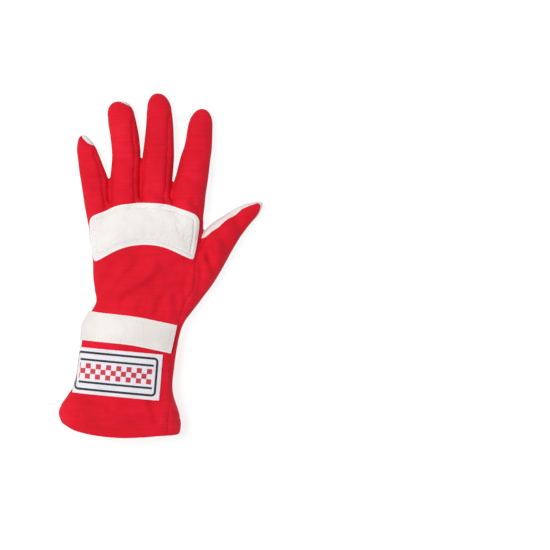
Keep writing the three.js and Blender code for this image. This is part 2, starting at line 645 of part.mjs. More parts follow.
function wristStrap() {
  const band = sheetOn(bandOutline(STRAP_LINE, STRAP_WIDTH), STRAP_THICKNESS);
  const end = STRAP_SEWN_END * HAND_WIDTH;
  const past = prism([
    new THREE.Vector2(end, -FAR), new THREE.Vector2(FAR, -FAR),
    new THREE.Vector2(FAR, FAR), new THREE.Vector2(end, FAR),
  ]);
  return band.subtract(past.subtract(above(WIDEST * HAND_HEIGHT)));
}

function labelPatch() {
  const label = sheetOn(bandOutline(LABEL_LINE, LABEL_HEIGHT), LABEL_THICKNESS);
  return label.intersect(above(LABEL_LOW_EDGE * MOUTH_HEIGHT));
}

// Materials: the red knit, the pale leather, the strap's leather and the label's weave
const cloth = (color, roughness) => new THREE.MeshStandardMaterial({ color, roughness, metalness: 0 });
const knit = () => cloth("#e3203a", 0.85);
const suede = () => cloth("#eeece9", 0.7);
const strapLeather = () => cloth("#e8e2de", 0.65);
const weave = () => cloth("#eeeef2", 0.8);

const pieces = [
  { name: "back_panel", solid: hand, material: knit() },
  { name: "little_back", solid: backStalls[0], material: knit() },
  { name: "ring_back", solid: backStalls[1], material: knit() },
  { name: "middle_back", solid: backStalls[2], material: knit() },
  { name: "index_back", solid: backStalls[3], material: knit() },
  { name: "palm_panel", solid: palm, material: suede() },
  { name: "little_front", solid: frontStalls[0], material: suede() },
  { name: "ring_front", solid: frontStalls[1], material: suede() },
  { name: "middle_front", solid: frontStalls[2], material: suede() },
  { name: "index_front", solid: frontStalls[3], material: suede() },
  { name: "thumb_front", solid: frontStalls[4], material: suede() },
  { name: "thumb_panel", solid: thumb, material: knit() },
  { name: "cuff_panel", solid: cuff, material: knit() },
  { name: "fourchette_little_ring", solid: fourchettes[0], material: knit() },
  { name: "fourchette_ring_middle", solid: fourchettes[1], material: knit() },
  { name: "fourchette_middle_index", solid: fourchettes[2], material: knit() },
  { name: "knuckle_patch", solid: knucklePatch(), material: suede() },
  { name: "wrist_strap", solid: wristStrap(), material: strapLeather() },
  { name: "label_patch", solid: labelPatch(), material: weave() },
];

const glove = new THREE.Group();
for (const { name, solid, material } of pieces) {
  const { vertProperties, triVerts } = solid.getMesh();
  const geometry = new THREE.BufferGeometry();
  geometry.setAttribute("position", new THREE.BufferAttribute(vertProperties, 3));
  geometry.setIndex(new THREE.BufferAttribute(triVerts, 1));
  geometry.computeVertexNormals();
  const mesh = new THREE.Mesh(geometry, material);
  mesh.name = name;
  glove.add(mesh);
}

// The origin is the middle of the glove's box, on the surface that it lies on
const middle = new THREE.Box3().setFromObject(glove).getCenter(new THREE.Vector3());
glove.position.set(-middle.x, -middle.y, 0);

export default glove;
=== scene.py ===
# Looks of the racing glove: the sewn shell with its seams, folds and stitches, the padded knuckle patch,
# the wrist strap and the woven label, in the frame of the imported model.
import math

import bpy
import numpy as np
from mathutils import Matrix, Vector, noise
from mathutils.bvhtree import BVHTree
from mathutils.kdtree import KDTree


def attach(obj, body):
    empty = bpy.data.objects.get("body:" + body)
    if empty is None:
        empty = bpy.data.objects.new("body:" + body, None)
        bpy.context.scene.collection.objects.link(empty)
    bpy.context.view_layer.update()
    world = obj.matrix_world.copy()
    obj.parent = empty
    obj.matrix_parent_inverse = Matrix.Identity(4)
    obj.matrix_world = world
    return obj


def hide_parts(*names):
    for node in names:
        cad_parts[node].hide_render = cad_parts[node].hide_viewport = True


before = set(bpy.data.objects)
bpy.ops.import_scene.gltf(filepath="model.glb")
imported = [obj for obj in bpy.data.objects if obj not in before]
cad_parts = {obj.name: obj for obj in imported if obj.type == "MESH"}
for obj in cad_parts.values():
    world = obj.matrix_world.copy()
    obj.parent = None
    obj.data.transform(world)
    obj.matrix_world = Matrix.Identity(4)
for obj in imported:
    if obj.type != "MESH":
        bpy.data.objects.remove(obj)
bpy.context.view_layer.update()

# The glove is drawn in millimetres with the hem at the bottom and the fingers along +Y. ORIGIN is the
# point of that drawing that lies over the row's origin.
ORIGIN = np.array([12.876, 150.863, 0.0])
GAUNTLET_LENGTH, HAND_LENGTH = 94.0, 113.0
LITTLE_WIDTH, RING_WIDTH, MIDDLE_WIDTH, INDEX_WIDTH, THUMB_WIDTH = 25.0, 27.0, 28.5, 30.0, 31.0
HAND_WIDTH = 0.91 * (LITTLE_WIDTH + RING_WIDTH + MIDDLE_WIDTH + INDEX_WIDTH)
HAND_HEIGHT, MOUTH_HEIGHT = 31.0, 40.0
WALL, HEM_WALL, HEM_HEIGHT = 1.8, 2.8, 14.0
VOXEL = 1.0


def table(columns, *rows):
    """A table as one array for each named column."""
    return dict(zip(columns.split(), np.array(rows, float).T))


# Sections of the hand, along 0 to 1 over the gauntlet and 1 to 2 over the hand
HAND = table(
    "along centre half bow gauntlet hand sole lean",
    (0.088, -0.223, 0.516, -0.082, 1.0, 0, -0.05, -6), (0.16, -0.229, 0.531, -0.07, 1.0, 0, -0.05, -6),
    (0.235, -0.224, 0.525, -0.06, 0.98, 0, -0.05, -6), (0.32, -0.209, 0.49, -0.04, 0.94, 0, -0.05, -6),
    (0.425, -0.196, 0.44, -0.02, 0.9, 0, -0.03, -6), (0.53, -0.186, 0.416, -0.01, 0.87, 0, 0, -6),
    (0.7, -0.166, 0.413, 0, 0.83, 0, 0.08, -6), (0.85, -0.148, 0.413, 0, 0.5, 0.37, 0.13, -7),
    (1.0, -0.117, 0.41, 0, 0, 0.98, 0.14, -7), (1.09, -0.083, 0.41, 0, 0, 0.96, 0.14, -6),
    (1.195, -0.015, 0.422, 0, 0, 0.95, 0.08, -4), (1.3, 0.005, 0.453, 0, 0, 0.97, 0, -2),
    (1.425, 0, 0.463, 0, 0, 1.0, -0.04, 0), (1.557, 0.003, 0.47, 0.01, 0, 1.02, -0.05, 0),
    (1.68, 0, 0.488, 0.03, 0, 1.02, -0.05, 0), (1.79, 0.002, 0.498, 0.05, 0, 0.99, -0.04, 0),
    (1.865, -0.002, 0.503, 0.07, 0, 0.93, -0.02, 0), (1.93, -0.002, 0.495, 0.085, 0, 0.82, 0.06, 0),
    (1.955, -0.002, 0.47, 0.09, 0, 0.66, 0.18, 0),
)
WIDEST, CROWN_POWER, SOLE_POWER, DIGIT_POWER = 0.42, 2.35, 2.8, 2.25


def digit(length, width, x, along, lean, tip, tip_power, *rows):
    """A digit's sizes, and its rows from root to tip as shares of its width and the hand's height."""
    sizes = dict(length=length, width=width, x=x, along=along, lean=math.radians(lean), tip=tip, tip_power=tip_power)
    return dict(sizes, rows=table("at shift half top sole", *rows))


MIDDLE_X = 0.075 * HAND_WIDTH
RING_X = MIDDLE_X - 0.94 * (MIDDLE_WIDTH + RING_WIDTH) / 2
LITTLE_X = RING_X - 0.81 * (RING_WIDTH + LITTLE_WIDTH) / 2
INDEX_X = MIDDLE_X + 0.947 * (MIDDLE_WIDTH + INDEX_WIDTH) / 2
LITTLE = digit(
    81, LITTLE_WIDTH, LITTLE_X, 1.827, -12.4, 0.8, 1.9,
    (-0.3, 0.05, 0.4, 0.72, 0.1), (0, 0, 0.44, 0.84, -0.03), (0.245, 0.02, 0.44, 0.78, 0.02),
    (0.45, 0.1, 0.48, 0.68, 0.05), (0.64, 0.08, 0.42, 0.59, 0.03), (0.8, 0.06, 0.365, 0.5, -0.03),
    (1, 0, 0.28, 0.4, -0.03),
)
RING = digit(
    100, RING_WIDTH, RING_X, 1.904, -3, 0.88, 2.5,
    (-0.3, 0.04, 0.46, 0.8, 0.1), (0, 0.02, 0.49, 0.92, -0.03), (0.3, 0.062, 0.486, 0.8, 0.04),
    (0.52, 0.14, 0.463, 0.7, 0.07), (0.68, 0.12, 0.465, 0.63, 0.05), (0.84, 0.05, 0.45, 0.55, -0.02),
    (1, 0, 0.39, 0.46, -0.03),
)
MIDDLE = digit(
    107, MIDDLE_WIDTH, MIDDLE_X, 1.904, 1.5, 0.86, 2.2,
    (-0.3, 0, 0.45, 0.82, 0.1), (0, 0, 0.47, 0.94, -0.03), (0.205, 0.028, 0.466, 0.86, 0.02),
    (0.41, 0.053, 0.491, 0.78, 0.07), (0.557, 0.075, 0.463, 0.71, 0.08), (0.737, 0.08, 0.414, 0.61, 0.03),
    (0.877, 0.055, 0.38, 0.54, -0.03), (1, 0, 0.34, 0.47, -0.03),
)
INDEX = digit(
    103, INDEX_WIDTH, INDEX_X, 1.827, 8.4, 0.85, 2.1,
    (-0.3, -0.03, 0.45, 0.8, 0.1), (0, -0.01, 0.475, 0.92, -0.03), (0.13, -0.028, 0.49, 0.88, 0),
    (0.283, -0.056, 0.496, 0.83, 0.04), (0.413, -0.03, 0.47, 0.77, 0.07), (0.552, -0.015, 0.44, 0.7, 0.08),
    (0.674, 0.015, 0.4, 0.63, 0.06), (0.862, -0.005, 0.358, 0.54, -0.03), (1, 0, 0.32, 0.46, -0.03),
)
THUMB = digit(
    84, THUMB_WIDTH, 0.463 * HAND_WIDTH, 1.437, 41, 0.84, 1.8,
    (-0.42, 0.3, 0.26, 0.74, 0.1), (-0.19, 0.1, 0.42, 0.86, 0), (0, 0, 0.485, 0.86, -0.03),
    (0.227, -0.12, 0.5, 0.8, -0.03), (0.444, -0.22, 0.475, 0.73, 0.02), (0.673, -0.19, 0.355, 0.63, 0.05),
    (0.857, -0.1, 0.265, 0.54, 0.02), (1, 0, 0.18, 0.46, 0),
)

# Height of the palm seam, and the seams in plan: across is a share of a digit's or a section's half width
PALM_SEAM = table(
    "along mouth hand",
    (-0.4, 0.4, 0), (0.3, 0.38, 0), (1, 0, 0.45), (1.4, 0, 0.36), (1.85, 0, 0.34), (2.1, 0, 0.3),
    (2.4, 0, 0.2), (3.6, 0, 0.12),
)
SIDE_SEAM = table(
    "along across",
    (-0.05, 0.8), (0.35, 0.87), (0.76, 0.93), (1.05, 0.96), (1.13, 0.9), (1.22, 0.82), (1.34, 0.91), (1.5, 0.92),
    (1.6, 0.95), (1.715, 1.03),
)
FOURCHETTE_SEAM = ((0.06, 0.74), (0.14, 0.66), (0.3, 0.63), (0.55, 0.62), (0.78, 0.7), (0.88, 1.15))
FOURCHETTE_FAR = -0.9
CROTCH = 0.03
THUMB_SEAM = ((0.3, -0.93), (0.365, -0.7), (0.5, -0.58), (0.7, -0.55), (0.86, -0.59), (0.975, -0.3))
THUMB_FREE_SIDE = ((1.06, -0.5), (1.06, -3), (0.7, -1.6), (0.46, -1.22), (0.37, -1.03))
LITTLE_TIP = ((1.06, -0.25), (1.0, -0.05), (0.95, 0.12), (0.9, 0.45), (0.84, 1.1), (0.84, 1.6), (1.06, 1.6))
RING_TIP = ((1.03, 0.0), (0.998, 0.1), (0.984, 0.4), (0.962, 0.74), (0.93, 1.05), (0.93, 1.4), (1.03, 1.4))
HEM_LINE = table(
    "x y",
    (-78, 15.5), (-73.6, 12.4), (-63.4, 6.8), (-46.6, 2.6), (-25.5, 0.2), (-8.8, 0.2), (12.3, 1.6), (27.3, 2.6),
    (34, 5),
)
WRIST_LINE = ((-68.0, 100.2), (-45.3, 97.4), (-13.1, 94.0), (8.0, 90.0), (24.1, 86.5))

# Folds of the cloth: a valley (depth over 0) or a ridge (under 0) from one point in plan to another
FOLDS = table(
    "x y to_x to_y width depth",
    (-14, 156, -32, 130, 4.5, -0.8), (7, 151, -23, 128, 4.5, -0.9), (27, 149, 7, 135, 5.5, 0.6),
    (7, 135, -19, 121, 4.5, 0.7), (-28, 152, -38, 134, 4.0, 0.7), (1, 148, -14, 134, 3.5, 0.5),
    (14, 122, 11, 110, 2.6, 0.5), (6, 124, 4, 109, 2.6, -0.4), (20, 124, 21, 106, 2.6, -0.5),
    (-4, 120, -6, 112, 2.4, 0.4), (-20, 121, -22, 113, 2.6, 0.35), (27, 124, 29, 104, 2.8, 0.6),
    (54, 172, 58, 158, 4.5, 1.3), (56, 160, 60, 145, 3.0, 1.0), (50, 158, 54, 142, 3.0, -0.5),
    (52, 168, 46, 128, 6.0, 1.3), (44, 162, 41, 128, 4.0, -0.7),
    (62, 170, 70, 158, 4.0, -0.5), (42, 206, 48, 199, 4.0, 1.2), (30, 209, 38, 205, 3.0, -0.5),
    (6, 218, 15, 213, 4.5, 1.3), (-8, 214, -2, 217, 3.5, -0.5), (-32, 260, -8, 261, 3.4, 0.8),
    (-28, 251, -12, 249, 3.0, -0.3), (-26, 239, -14, 242, 3.2, 0.5), (-22, 222, -12, 226, 3.5, -0.4),
    (-2, 248, 18, 249, 3.6, 0.8), (-1, 240, 8, 242, 3.2, 0.6), (4, 259, 16, 260, 3.2, 0.4),
    (0, 233, 14, 232, 3.4, -0.4), (33, 256, 55, 253, 4.2, 0.7), (36, 246, 48, 247, 3.5, 0.4),
    (41, 240, 55, 236, 3.5, 0.4), (38, 228, 50, 226, 3.6, 0.5), (28, 218, 40, 220, 4.0, -0.4),
    (-54, 236, -38, 232, 3.4, 0.5), (-50, 222, -38, 218, 3.4, 0.4), (-58, 250, -44, 248, 3.0, 0.4),
    (79, 196, 86, 175, 4.0, 0.8), (70, 190, 78, 166, 4.0, -0.4), (64, 184, 60, 174, 4.0, 0.6),
    (-56, 36, -32, 30, 4.0, 0.7), (-66, 26, -58, 14, 3.5, 0.6), (4, 40, 10, 16, 4.0, 0.9),
    (16, 52, 22, 24, 4.0, -0.8), (12, 78, 14, 50, 3.2, 0.6), (-30, 24, 0, 20, 3.0, 0.4),
    (-44, 86, 12, 81, 2.4, 0.5), (24, 60, 27, 40, 3.0, 0.6), (-68, 70, -60, 60, 3.0, 0.5),
)


def smooth(rows, by, key, x):
    """A smooth curve through a table's rows: column key at x in column by, level past both ends."""
    at, value = rows[by], rows[key]
    slope = np.empty(len(at))
    slope[1:-1] = (value[2:] - value[:-2]) / (at[2:] - at[:-2])
    slope[0] = (value[1] - value[0]) / (at[1] - at[0])
    slope[-1] = (value[-1] - value[-2]) / (at[-1] - at[-2])
    x = np.asarray(x, float)
    i = np.clip(np.searchsorted(at, x, side="left") - 1, 0, len(at) - 2)
    span = at[i + 1] - at[i]
    t = np.clip((x - at[i]) / span, 0, 1)
    ease = t * t * (3 - 2 * t)
    leave = t * (1 - t) ** 2 * slope[i] * span
    arrive = t * t * (t - 1) * slope[i + 1] * span
    return value[i] * (1 - ease) + value[i + 1] * ease + leave + arrive


def rounded(value, power):
    """The cosine or sine of an angle on an oval that is squarer the higher its power."""
    return np.sign(value) * np.abs(value) ** (2 / power)


def along_to_y(along):
    return GAUNTLET_LENGTH * np.minimum(along, 1) + HAND_LENGTH * np.maximum(np.asarray(along) - 1, 0)


def y_to_along(y):
    return np.where(y < GAUNTLET_LENGTH, y / GAUNTLET_LENGTH, 1 + (y - GAUNTLET_LENGTH) / HAND_LENGTH)


def hand_ring(angle, along):
    """Points on a section of the hand, at angles from the thumb's side up over the crown."""
    at = {key: smooth(HAND, "along", key, along) for key in HAND}
    cos, sin = np.cos(angle), np.sin(angle)
    top = at["gauntlet"] * MOUTH_HEIGHT + at["hand"] * HAND_HEIGHT
    sole = at["sole"] * HAND_HEIGHT
    middle = sole + WIDEST * (top - sole)
    power = np.where(sin > 0, CROWN_POWER, SOLE_POWER)
    side = at["half"] * HAND_WIDTH * rounded(cos, power)
    bow = at["bow"] * HAND_WIDTH * sin**2
    y = along_to_y(along) + bow + side * np.tan(np.radians(at["lean"]))
    z = middle + np.where(sin > 0, top - middle, middle - sole) * rounded(sin, power)
    return np.stack([at["centre"] * HAND_WIDTH + side, y, z], axis=1)


def on_digit(one, at, across):
    """Points of a digit in plan; across is a share of its half width there."""
    at, across = np.asarray(at, float), np.asarray(across, float)
    half = smooth(one["rows"], "at", "half", at) * one["width"]
    shift = smooth(one["rows"], "at", "shift", at) * one["width"] + across * half
    reach = at * one["length"]
    sin, cos = math.sin(one["lean"]), math.cos(one["lean"])
    x = one["x"] + sin * reach + cos * shift
    y = along_to_y(one["along"]) + cos * reach - sin * shift
    return np.stack([x, y], axis=-1)


def digit_ring(one, angle, at):
    """Points on a ring of a digit, at angles from its thumb side up over its back."""
    value = {key: smooth(one["rows"], "at", key, at) for key in ("half", "top", "sole")}
    closing = np.clip((at - one["tip"]) / (1 - one["tip"]), 0, 1)
    fullness = (1 - closing ** one["tip_power"]) ** (1 / one["tip_power"])
    top, sole = value["top"] * HAND_HEIGHT, value["sole"] * HAND_HEIGHT
    middle = sole + WIDEST * (top - sole)
    reach = np.where(np.sin(angle) > 0, top - middle, middle - sole)
    side = value["half"] * one["width"] * fullness * rounded(np.cos(angle), DIGIT_POWER)
    lift = reach * fullness * rounded(np.sin(angle), DIGIT_POWER)
    plan = on_digit(one, np.full(len(angle), at), 0)
    x = plan[:, 0] + math.cos(one["lean"]) * side
    y = plan[:, 1] - math.sin(one["lean"]) * side
    return np.stack([x, y, middle + lift], axis=1)


# Surfaces as arrays of points and triangles
def loft(rings):
    """A closed surface through rings that turn left-handed about the way they follow each other."""
    count, levels = len(rings[0]), len(rings)
    points = np.concatenate([*rings, [rings[0].mean(axis=0), rings[-1].mean(axis=0)]])
    i = np.arange(count)
    j = (i + 1) % count
    faces = []
    for level in range(levels - 1):
        low, high = level * count, (level + 1) * count
        faces += [np.stack([low + i, high + i, low + j], 1), np.stack([low + j, high + i, high + j], 1)]
    first, last, end = levels * count, levels * count + 1, (levels - 1) * count
    faces += [np.stack([np.full(count, first), i, j], 1), np.stack([np.full(count, last), end + j, end + i], 1)]
    return points, np.concatenate(faces)


def joined(surfaces):
    """Several surfaces as one, not welded."""
    points, faces, start = [], [], 0
    for p, f in surfaces:
        points.append(p)
        faces.append(f + start)
        start += len(p)
    return np.concatenate(points), np.concatenate(faces)


def mesh_from(name, points, faces):
    mesh = bpy.data.meshes.new(name)
    mesh.vertices.add(len(points))
    mesh.vertices.foreach_set("co", np.ascontiguousarray(points, np.float32).ravel())
    mesh.loops.add(faces.size)
    mesh.loops.foreach_set("vertex_index", faces.astype(np.int32).ravel())
    mesh.polygons.add(len(faces))
    mesh.polygons.foreach_set("loop_start", np.arange(0, faces.size, faces.shape[1], dtype=np.int32))
    mesh.update(calc_edges=True)
    return mesh


def remeshed(points, faces, voxel):
    """The outer surface of crossing closed surfaces, as triangles of about one size."""
    work = bpy.data.objects.new("work", mesh_from("work", points, faces))
    bpy.context.scene.collection.objects.link(work)
    modifier = work.modifiers.new("voxels", "REMESH")
    modifier.mode = "VOXEL"
    modifier.voxel_size = voxel
    result = work.evaluated_get(bpy.context.evaluated_depsgraph_get()).to_mesh()
    result.calc_loop_triangles()
    out = np.empty(len(result.vertices) * 3, np.float32)
    result.vertices.foreach_get("co", out)
    triangles = np.empty(len(result.loop_triangles) * 3, np.int32)
    result.loop_triangles.foreach_get("vertices", triangles)
    bpy.data.objects.remove(work)
    return out.reshape(-1, 3).astype(float), triangles.reshape(-1, 3).astype(np.int64)


def neighbours(faces, count):
    """Each edge both ways, and how many edges meet at each point."""
    edges = np.unique(np.sort(faces[:, [[0, 1], [1, 2], [2, 0]]].reshape(-1, 2), axis=1), axis=0)
    ways = np.concatenate([edges, edges[:, ::-1]])
    return ways, np.maximum(np.bincount(ways[:, 0], minlength=count), 1)


def spread(values, faces, turns, amount=0.5, held=None, least=None):
    """Values at points, each drawn towards the mean of its neighbours, and kept at least as high as least."""
    ways, meet = neighbours(faces, len(values))
    flat = values.reshape(len(values), -1).copy()
    for _ in range(turns):
        mean = np.stack([np.bincount(ways[:, 0], c[ways[:, 1]], minlength=len(flat)) for c in flat.T], 1)
        step = amount * (mean / meet[:, None] - flat)
        if held is not None:
            step[held] = 0
        flat += step
        if least is not None:
            flat = np.maximum(flat, least.reshape(flat.shape))
    return flat.reshape(values.shape)


def normals(points, faces):
    a, b, c = points[faces].transpose(1, 0, 2)
    face = np.cross(b - a, c - a)
    out = np.zeros_like(points)
    for k in range(3):
        for axis in range(3):
            out[:, axis] += np.bincount(faces[:, k], face[:, axis], minlength=len(points))
    return out / np.maximum(np.linalg.norm(out, axis=1, keepdims=True), 1e-9)


def cut_along(points, faces, value, snap=0.15):
    """The same surface with its triangles cut where value is 0."""
    value = np.where(np.abs(value) < snap, 0.0, value)
    sign = np.sign(value)
    edges = np.sort(faces[:, [[0, 1], [1, 2], [2, 0]]].reshape(-1, 2), axis=1)
    crossing = sign[edges[:, 0]] * sign[edges[:, 1]] < 0
    key = edges[:, 0] * len(points) + edges[:, 1]
    unique, inverse = np.unique(key[crossing], return_inverse=True)
    a, b = unique // len(points), unique % len(points)
    t = (value[a] / (value[a] - value[b]))[:, None]
    index = np.full(len(key), -1)
    index[crossing] = len(points) + inverse
    index = index.reshape(-1, 3)
    count = (index >= 0).sum(axis=1)
    parts = [faces[count == 0]]
    rows = np.arange((count == 1).sum())
    f, e = faces[count == 1], index[count == 1]
    k = e.argmax(axis=1)
    a1, b1, c1, n1 = f[rows, k], f[rows, (k + 1) % 3], f[rows, (k + 2) % 3], e[rows, k]
    parts += [np.stack([a1, n1, c1], 1), np.stack([n1, b1, c1], 1)]
    rows = np.arange((count == 2).sum())
    f, e = faces[count == 2], index[count == 2]
    k = e.argmin(axis=1)
    a2, b2, c2 = f[rows, k], f[rows, (k + 1) % 3], f[rows, (k + 2) % 3]
    m, n = e[rows, (k + 1) % 3], e[rows, (k + 2) % 3]
    parts += [np.stack([m, c2, n], 1), np.stack([a2, b2, m], 1), np.stack([a2, m, n], 1)]
    new_points = points[a] + t * (points[b] - points[a])
    return np.concatenate([points, new_points]), np.concatenate(parts)


def keep(points, faces, chosen):
    """Only the chosen triangles, with the points that they use."""
    used, index = np.unique(faces[chosen], return_inverse=True)
    return points[used], index.reshape(-1, 3), used


def middles(points, faces):
    """The middle of each triangle."""
    return points[faces].mean(axis=1)


def joints(faces, number):
    """The edges where two panels meet."""
    edges = np.sort(faces[:, [[0, 1], [1, 2], [2, 0]]].reshape(-1, 2), axis=1)
    order = np.lexsort(edges.T)
    edges, owner = edges[order], np.repeat(number, 3)[order]
    same = (edges[1:] == edges[:-1]).all(axis=1) & (owner[1:] != owner[:-1])
    return edges[1:][same]


def distance_to(points, places):
    """How far each point is from the nearest of places."""
    tree = KDTree(len(places))
    for i, place in enumerate(places):
        tree.insert(place, i)
    tree.balance()
    return np.array([tree.find(p)[2] for p in points])


def rim_of(faces):
    """The edges that only one triangle has, in its own direction."""
    edges = faces[:, [[0, 1], [1, 2], [2, 0]]].reshape(-1, 2)
    key = np.sort(edges, axis=1)
    _, first, count = np.unique(key, axis=0, return_index=True, return_counts=True)
    return edges[first[count == 1]]


def thickened(points, faces, back):
    """A closed wall between points and the same points moved to back."""
    count = len(points)
    near, far = rim_of(faces).T
    sides = [np.stack([far, near, near + count], 1), np.stack([far, near + count, far + count], 1)]
    return np.concatenate([points, back]), np.concatenate([faces, faces[:, ::-1] + count, *sides])


def finer(points, faces):
    """The same surface with each triangle as four."""
    edges = np.sort(faces[:, [[0, 1], [1, 2], [2, 0]]].reshape(-1, 2), axis=1)
    unique, index = np.unique(edges, axis=0, return_inverse=True)
    ab, bc, ca = (index.reshape(-1, 3) + len(points)).T
    a, b, c = faces.T
    parts = [np.stack(three, 1) for three in ((a, ab, ca), (ab, b, bc), (ca, bc, c), (ab, bc, ca))]
    return np.concatenate([points, points[unique].mean(axis=1)]), np.concatenate(parts)


def bell(away, width):
    """1 at 0, falling smoothly to nearly nothing at twice the width."""
    return np.exp(-((away / width) ** 2))


def turned_edge(inside, thick, radius):
    """The height of a sheet's outer face, rounded down at its edge."""
    share = np.clip(inside / radius, 0, 1)
    return 0.35 * thick + 0.65 * thick * np.sqrt(1 - (1 - share) ** 2)


def rippled(points, scale, amount):
    """A smooth unevenness of about scale, as high as amount."""
    return np.array([noise.noise(Vector(p / scale)) for p in points]) * amount


def curve(corners, step=1.5):
    """Points about a step apart on a smooth curve through corners."""
    corners = np.asarray(corners, float)
    ends = np.concatenate([[2 * corners[0] - corners[1]], corners, [2 * corners[-1] - corners[-2]]])
    out = []
    for p, q, r, s in zip(ends, ends[1:], ends[2:], ends[3:]):
        t = np.linspace(0, 1, max(int(np.linalg.norm(r - q) / step), 2), endpoint=False)[:, None]
        out.append(0.5 * (2 * q + (r - p) * t + (2 * p - 5 * q + 4 * r - s) * t**2 + (3 * q - p - 3 * r + s) * t**3))
    return np.concatenate([*out, corners[-1:]])


def to_line(plan, line):
    """Distance in plan from an open line."""
    best = np.full(len(plan), 1e9)
    for p, q in zip(line, line[1:]):
        run = q - p
        t = np.clip(((plan - p) @ run) / max(run @ run, 1e-9), 0, 1)[:, None]
        best = np.minimum(best, np.linalg.norm(plan - p - t * run, axis=1))
    return best


def within(plan, outline):
    """Distance in plan from a closed outline, over 0 inside it."""
    closed = np.concatenate([outline, outline[:1]])
    inside = np.zeros(len(plan), bool)
    for p, q in zip(closed, closed[1:]):
        spans = (p[1] > plan[:, 1]) != (q[1] > plan[:, 1])
        x = p[0] + (plan[:, 1] - p[1]) * (q[0] - p[0]) / (q[1] - p[1] if q[1] != p[1] else 1e-9)
        inside ^= spans & (plan[:, 0] < x)
    return np.where(inside, 1, -1) * to_line(plan, closed)


def digit_line(one, rows):
    at, across = np.array(rows).T
    return on_digit(one, at, across)


# The shell's zones, as distances that are over 0 inside
def low_zone(p):
    seam = smooth(PALM_SEAM, "along", "mouth", y_to_along(p[:, 1])) * MOUTH_HEIGHT
    seam += smooth(PALM_SEAM, "along", "hand", y_to_along(p[:, 1])) * HAND_HEIGHT
    return seam - p[:, 2]


def turned_up_zone(p):
    thumb = np.concatenate([curve(digit_line(THUMB, THUMB_SEAM)), digit_line(THUMB, THUMB_FREE_SIDE)])
    little = np.concatenate([curve(digit_line(LITTLE, LITTLE_TIP[:5])), digit_line(LITTLE, LITTLE_TIP[5:])])
    ring = np.concatenate([curve(digit_line(RING, RING_TIP[:5])), digit_line(RING, RING_TIP[5:])])
    return np.max([within(p[:, :2], outline) for outline in (thumb, little, ring)], axis=0)


def leather_zone(p):
    return np.maximum(low_zone(p), turned_up_zone(p))


def fourchette_zone(p, near, far):
    seam = digit_line(near, FOURCHETTE_SEAM)
    other = on_digit(far, [row[0] for row in FOURCHETTE_SEAM], FOURCHETTE_FAR)
    crotch = (on_digit(near, CROTCH, 1) + on_digit(far, CROTCH, -1)) / 2
    return within(p[:, :2], curve(np.concatenate([seam[::-1], [crotch], other])))


def side_zone(p):
    along = SIDE_SEAM["along"]
    centre, half = smooth(HAND, "along", "centre", along), smooth(HAND, "along", "half", along)
    seam = curve(np.stack([(centre + SIDE_SEAM["across"] * half) * HAND_WIDTH, along_to_y(along)], 1))
    beyond = [seam[-1] + [THUMB_WIDTH, THUMB_WIDTH], seam[-1] + [400, 400], [600, -400], [seam[0][0], -400]]
    return within(p[:, :2], np.concatenate([seam, beyond]))


def cuff_zone(p):
    line = curve(WRIST_LINE)
    start, end = line[0] + 8 * (line[0] - line[8]), line[-1] + 8 * (line[-1] - line[-9])
    return within(p[:, :2], np.concatenate([[start], line, [end, [400, -400], [-400, -400]]]))


def hem_zone(p):
    """How far in from the hem's edge."""
    return p[:, 1] - smooth(HEM_LINE, "x", "y", p[:, 0])


# The pieces that lie on the shell, as distances inside their outlines
PATCH_OUTLINE = (
    (-48.4, 182.9), (-48.6, 189.2), (-46.9, 193.9), (-42, 196.7), (-34.5, 199.3), (-23.5, 204), (-7, 205.8),
    (9.5, 205.8), (20.5, 204), (33.1, 200.2), (42.5, 196.2), (45.6, 192.4), (46.2, 187), (44.4, 171.1), (42.4, 159.6),
    (41.4, 157.2), (39, 157), (28.3, 161.9), (18.9, 166.1), (8.7, 168.7), (-3.1, 169.3), (-14.1, 168),
    (-24.3, 164.8), (-32.9, 160.5), (-41, 156.0), (-44, 155.4), (-45.2, 157.2), (-47.4, 167.2), (-48.4, 182.9),
)
PATCH_LOW = 14.0
PAD_CHANNEL, PAD_SEWN, PAD_PRESSURE, PAD_FRAMES = 4.2, 4.6, 0.6, 24
STRAP_CHANNEL, STRAP_HALF, STRAP_UNDER = 3.1, 12.75, 2.0
LABEL_RIGHT = np.array([13.2, 52.8])
LABEL_ALONG, LABEL_ACROSS = np.array([-0.9957, 0.0925]), np.array([0.084, 0.9965])
LABEL_HALF, LABEL_LOW, LABEL_LENGTH, LABEL_SEWN = 20.25, 17.0, 76.0, 1.3


def patch_zone(p):
    return np.minimum(within(p[:, :2], curve(PATCH_OUTLINE)), p[:, 2] - PATCH_LOW)


def strap_zone(p):
    line = curve(WRIST_LINE)
    run = np.gradient(line, axis=0)
    across = np.stack([-run[:, 1], run[:, 0]], 1) / np.linalg.norm(run, axis=1, keepdims=True)
    band = np.concatenate([line + STRAP_HALF * across, (line - STRAP_HALF * across)[::-1]])
    under = np.where(p[:, 2] > PATCH_LOW, 99, STRAP_UNDER - p[:, 0])
    return np.minimum(within(p[:, :2], band), under)


def label_place(p):
    """How far each point is from the label's right end, up from its lower edge, and from its wrapped left end."""
    away = p[:, :2] - LABEL_RIGHT
    cross = LABEL_ALONG[0] * LABEL_ACROSS[1] - LABEL_ALONG[1] * LABEL_ACROSS[0]
    along = (away[:, 0] * LABEL_ACROSS[1] - away[:, 1] * LABEL_ACROSS[0]) / cross
    up = (LABEL_ALONG[0] * away[:, 1] - LABEL_ALONG[1] * away[:, 0]) / cross + LABEL_HALF
    return along, up, np.minimum(p[:, 2] - LABEL_LOW, LABEL_LENGTH - along)


def label_zone(p):
    along, up, left = label_place(p)
    return np.min([along, left, up, 2 * LABEL_HALF - up], axis=0)


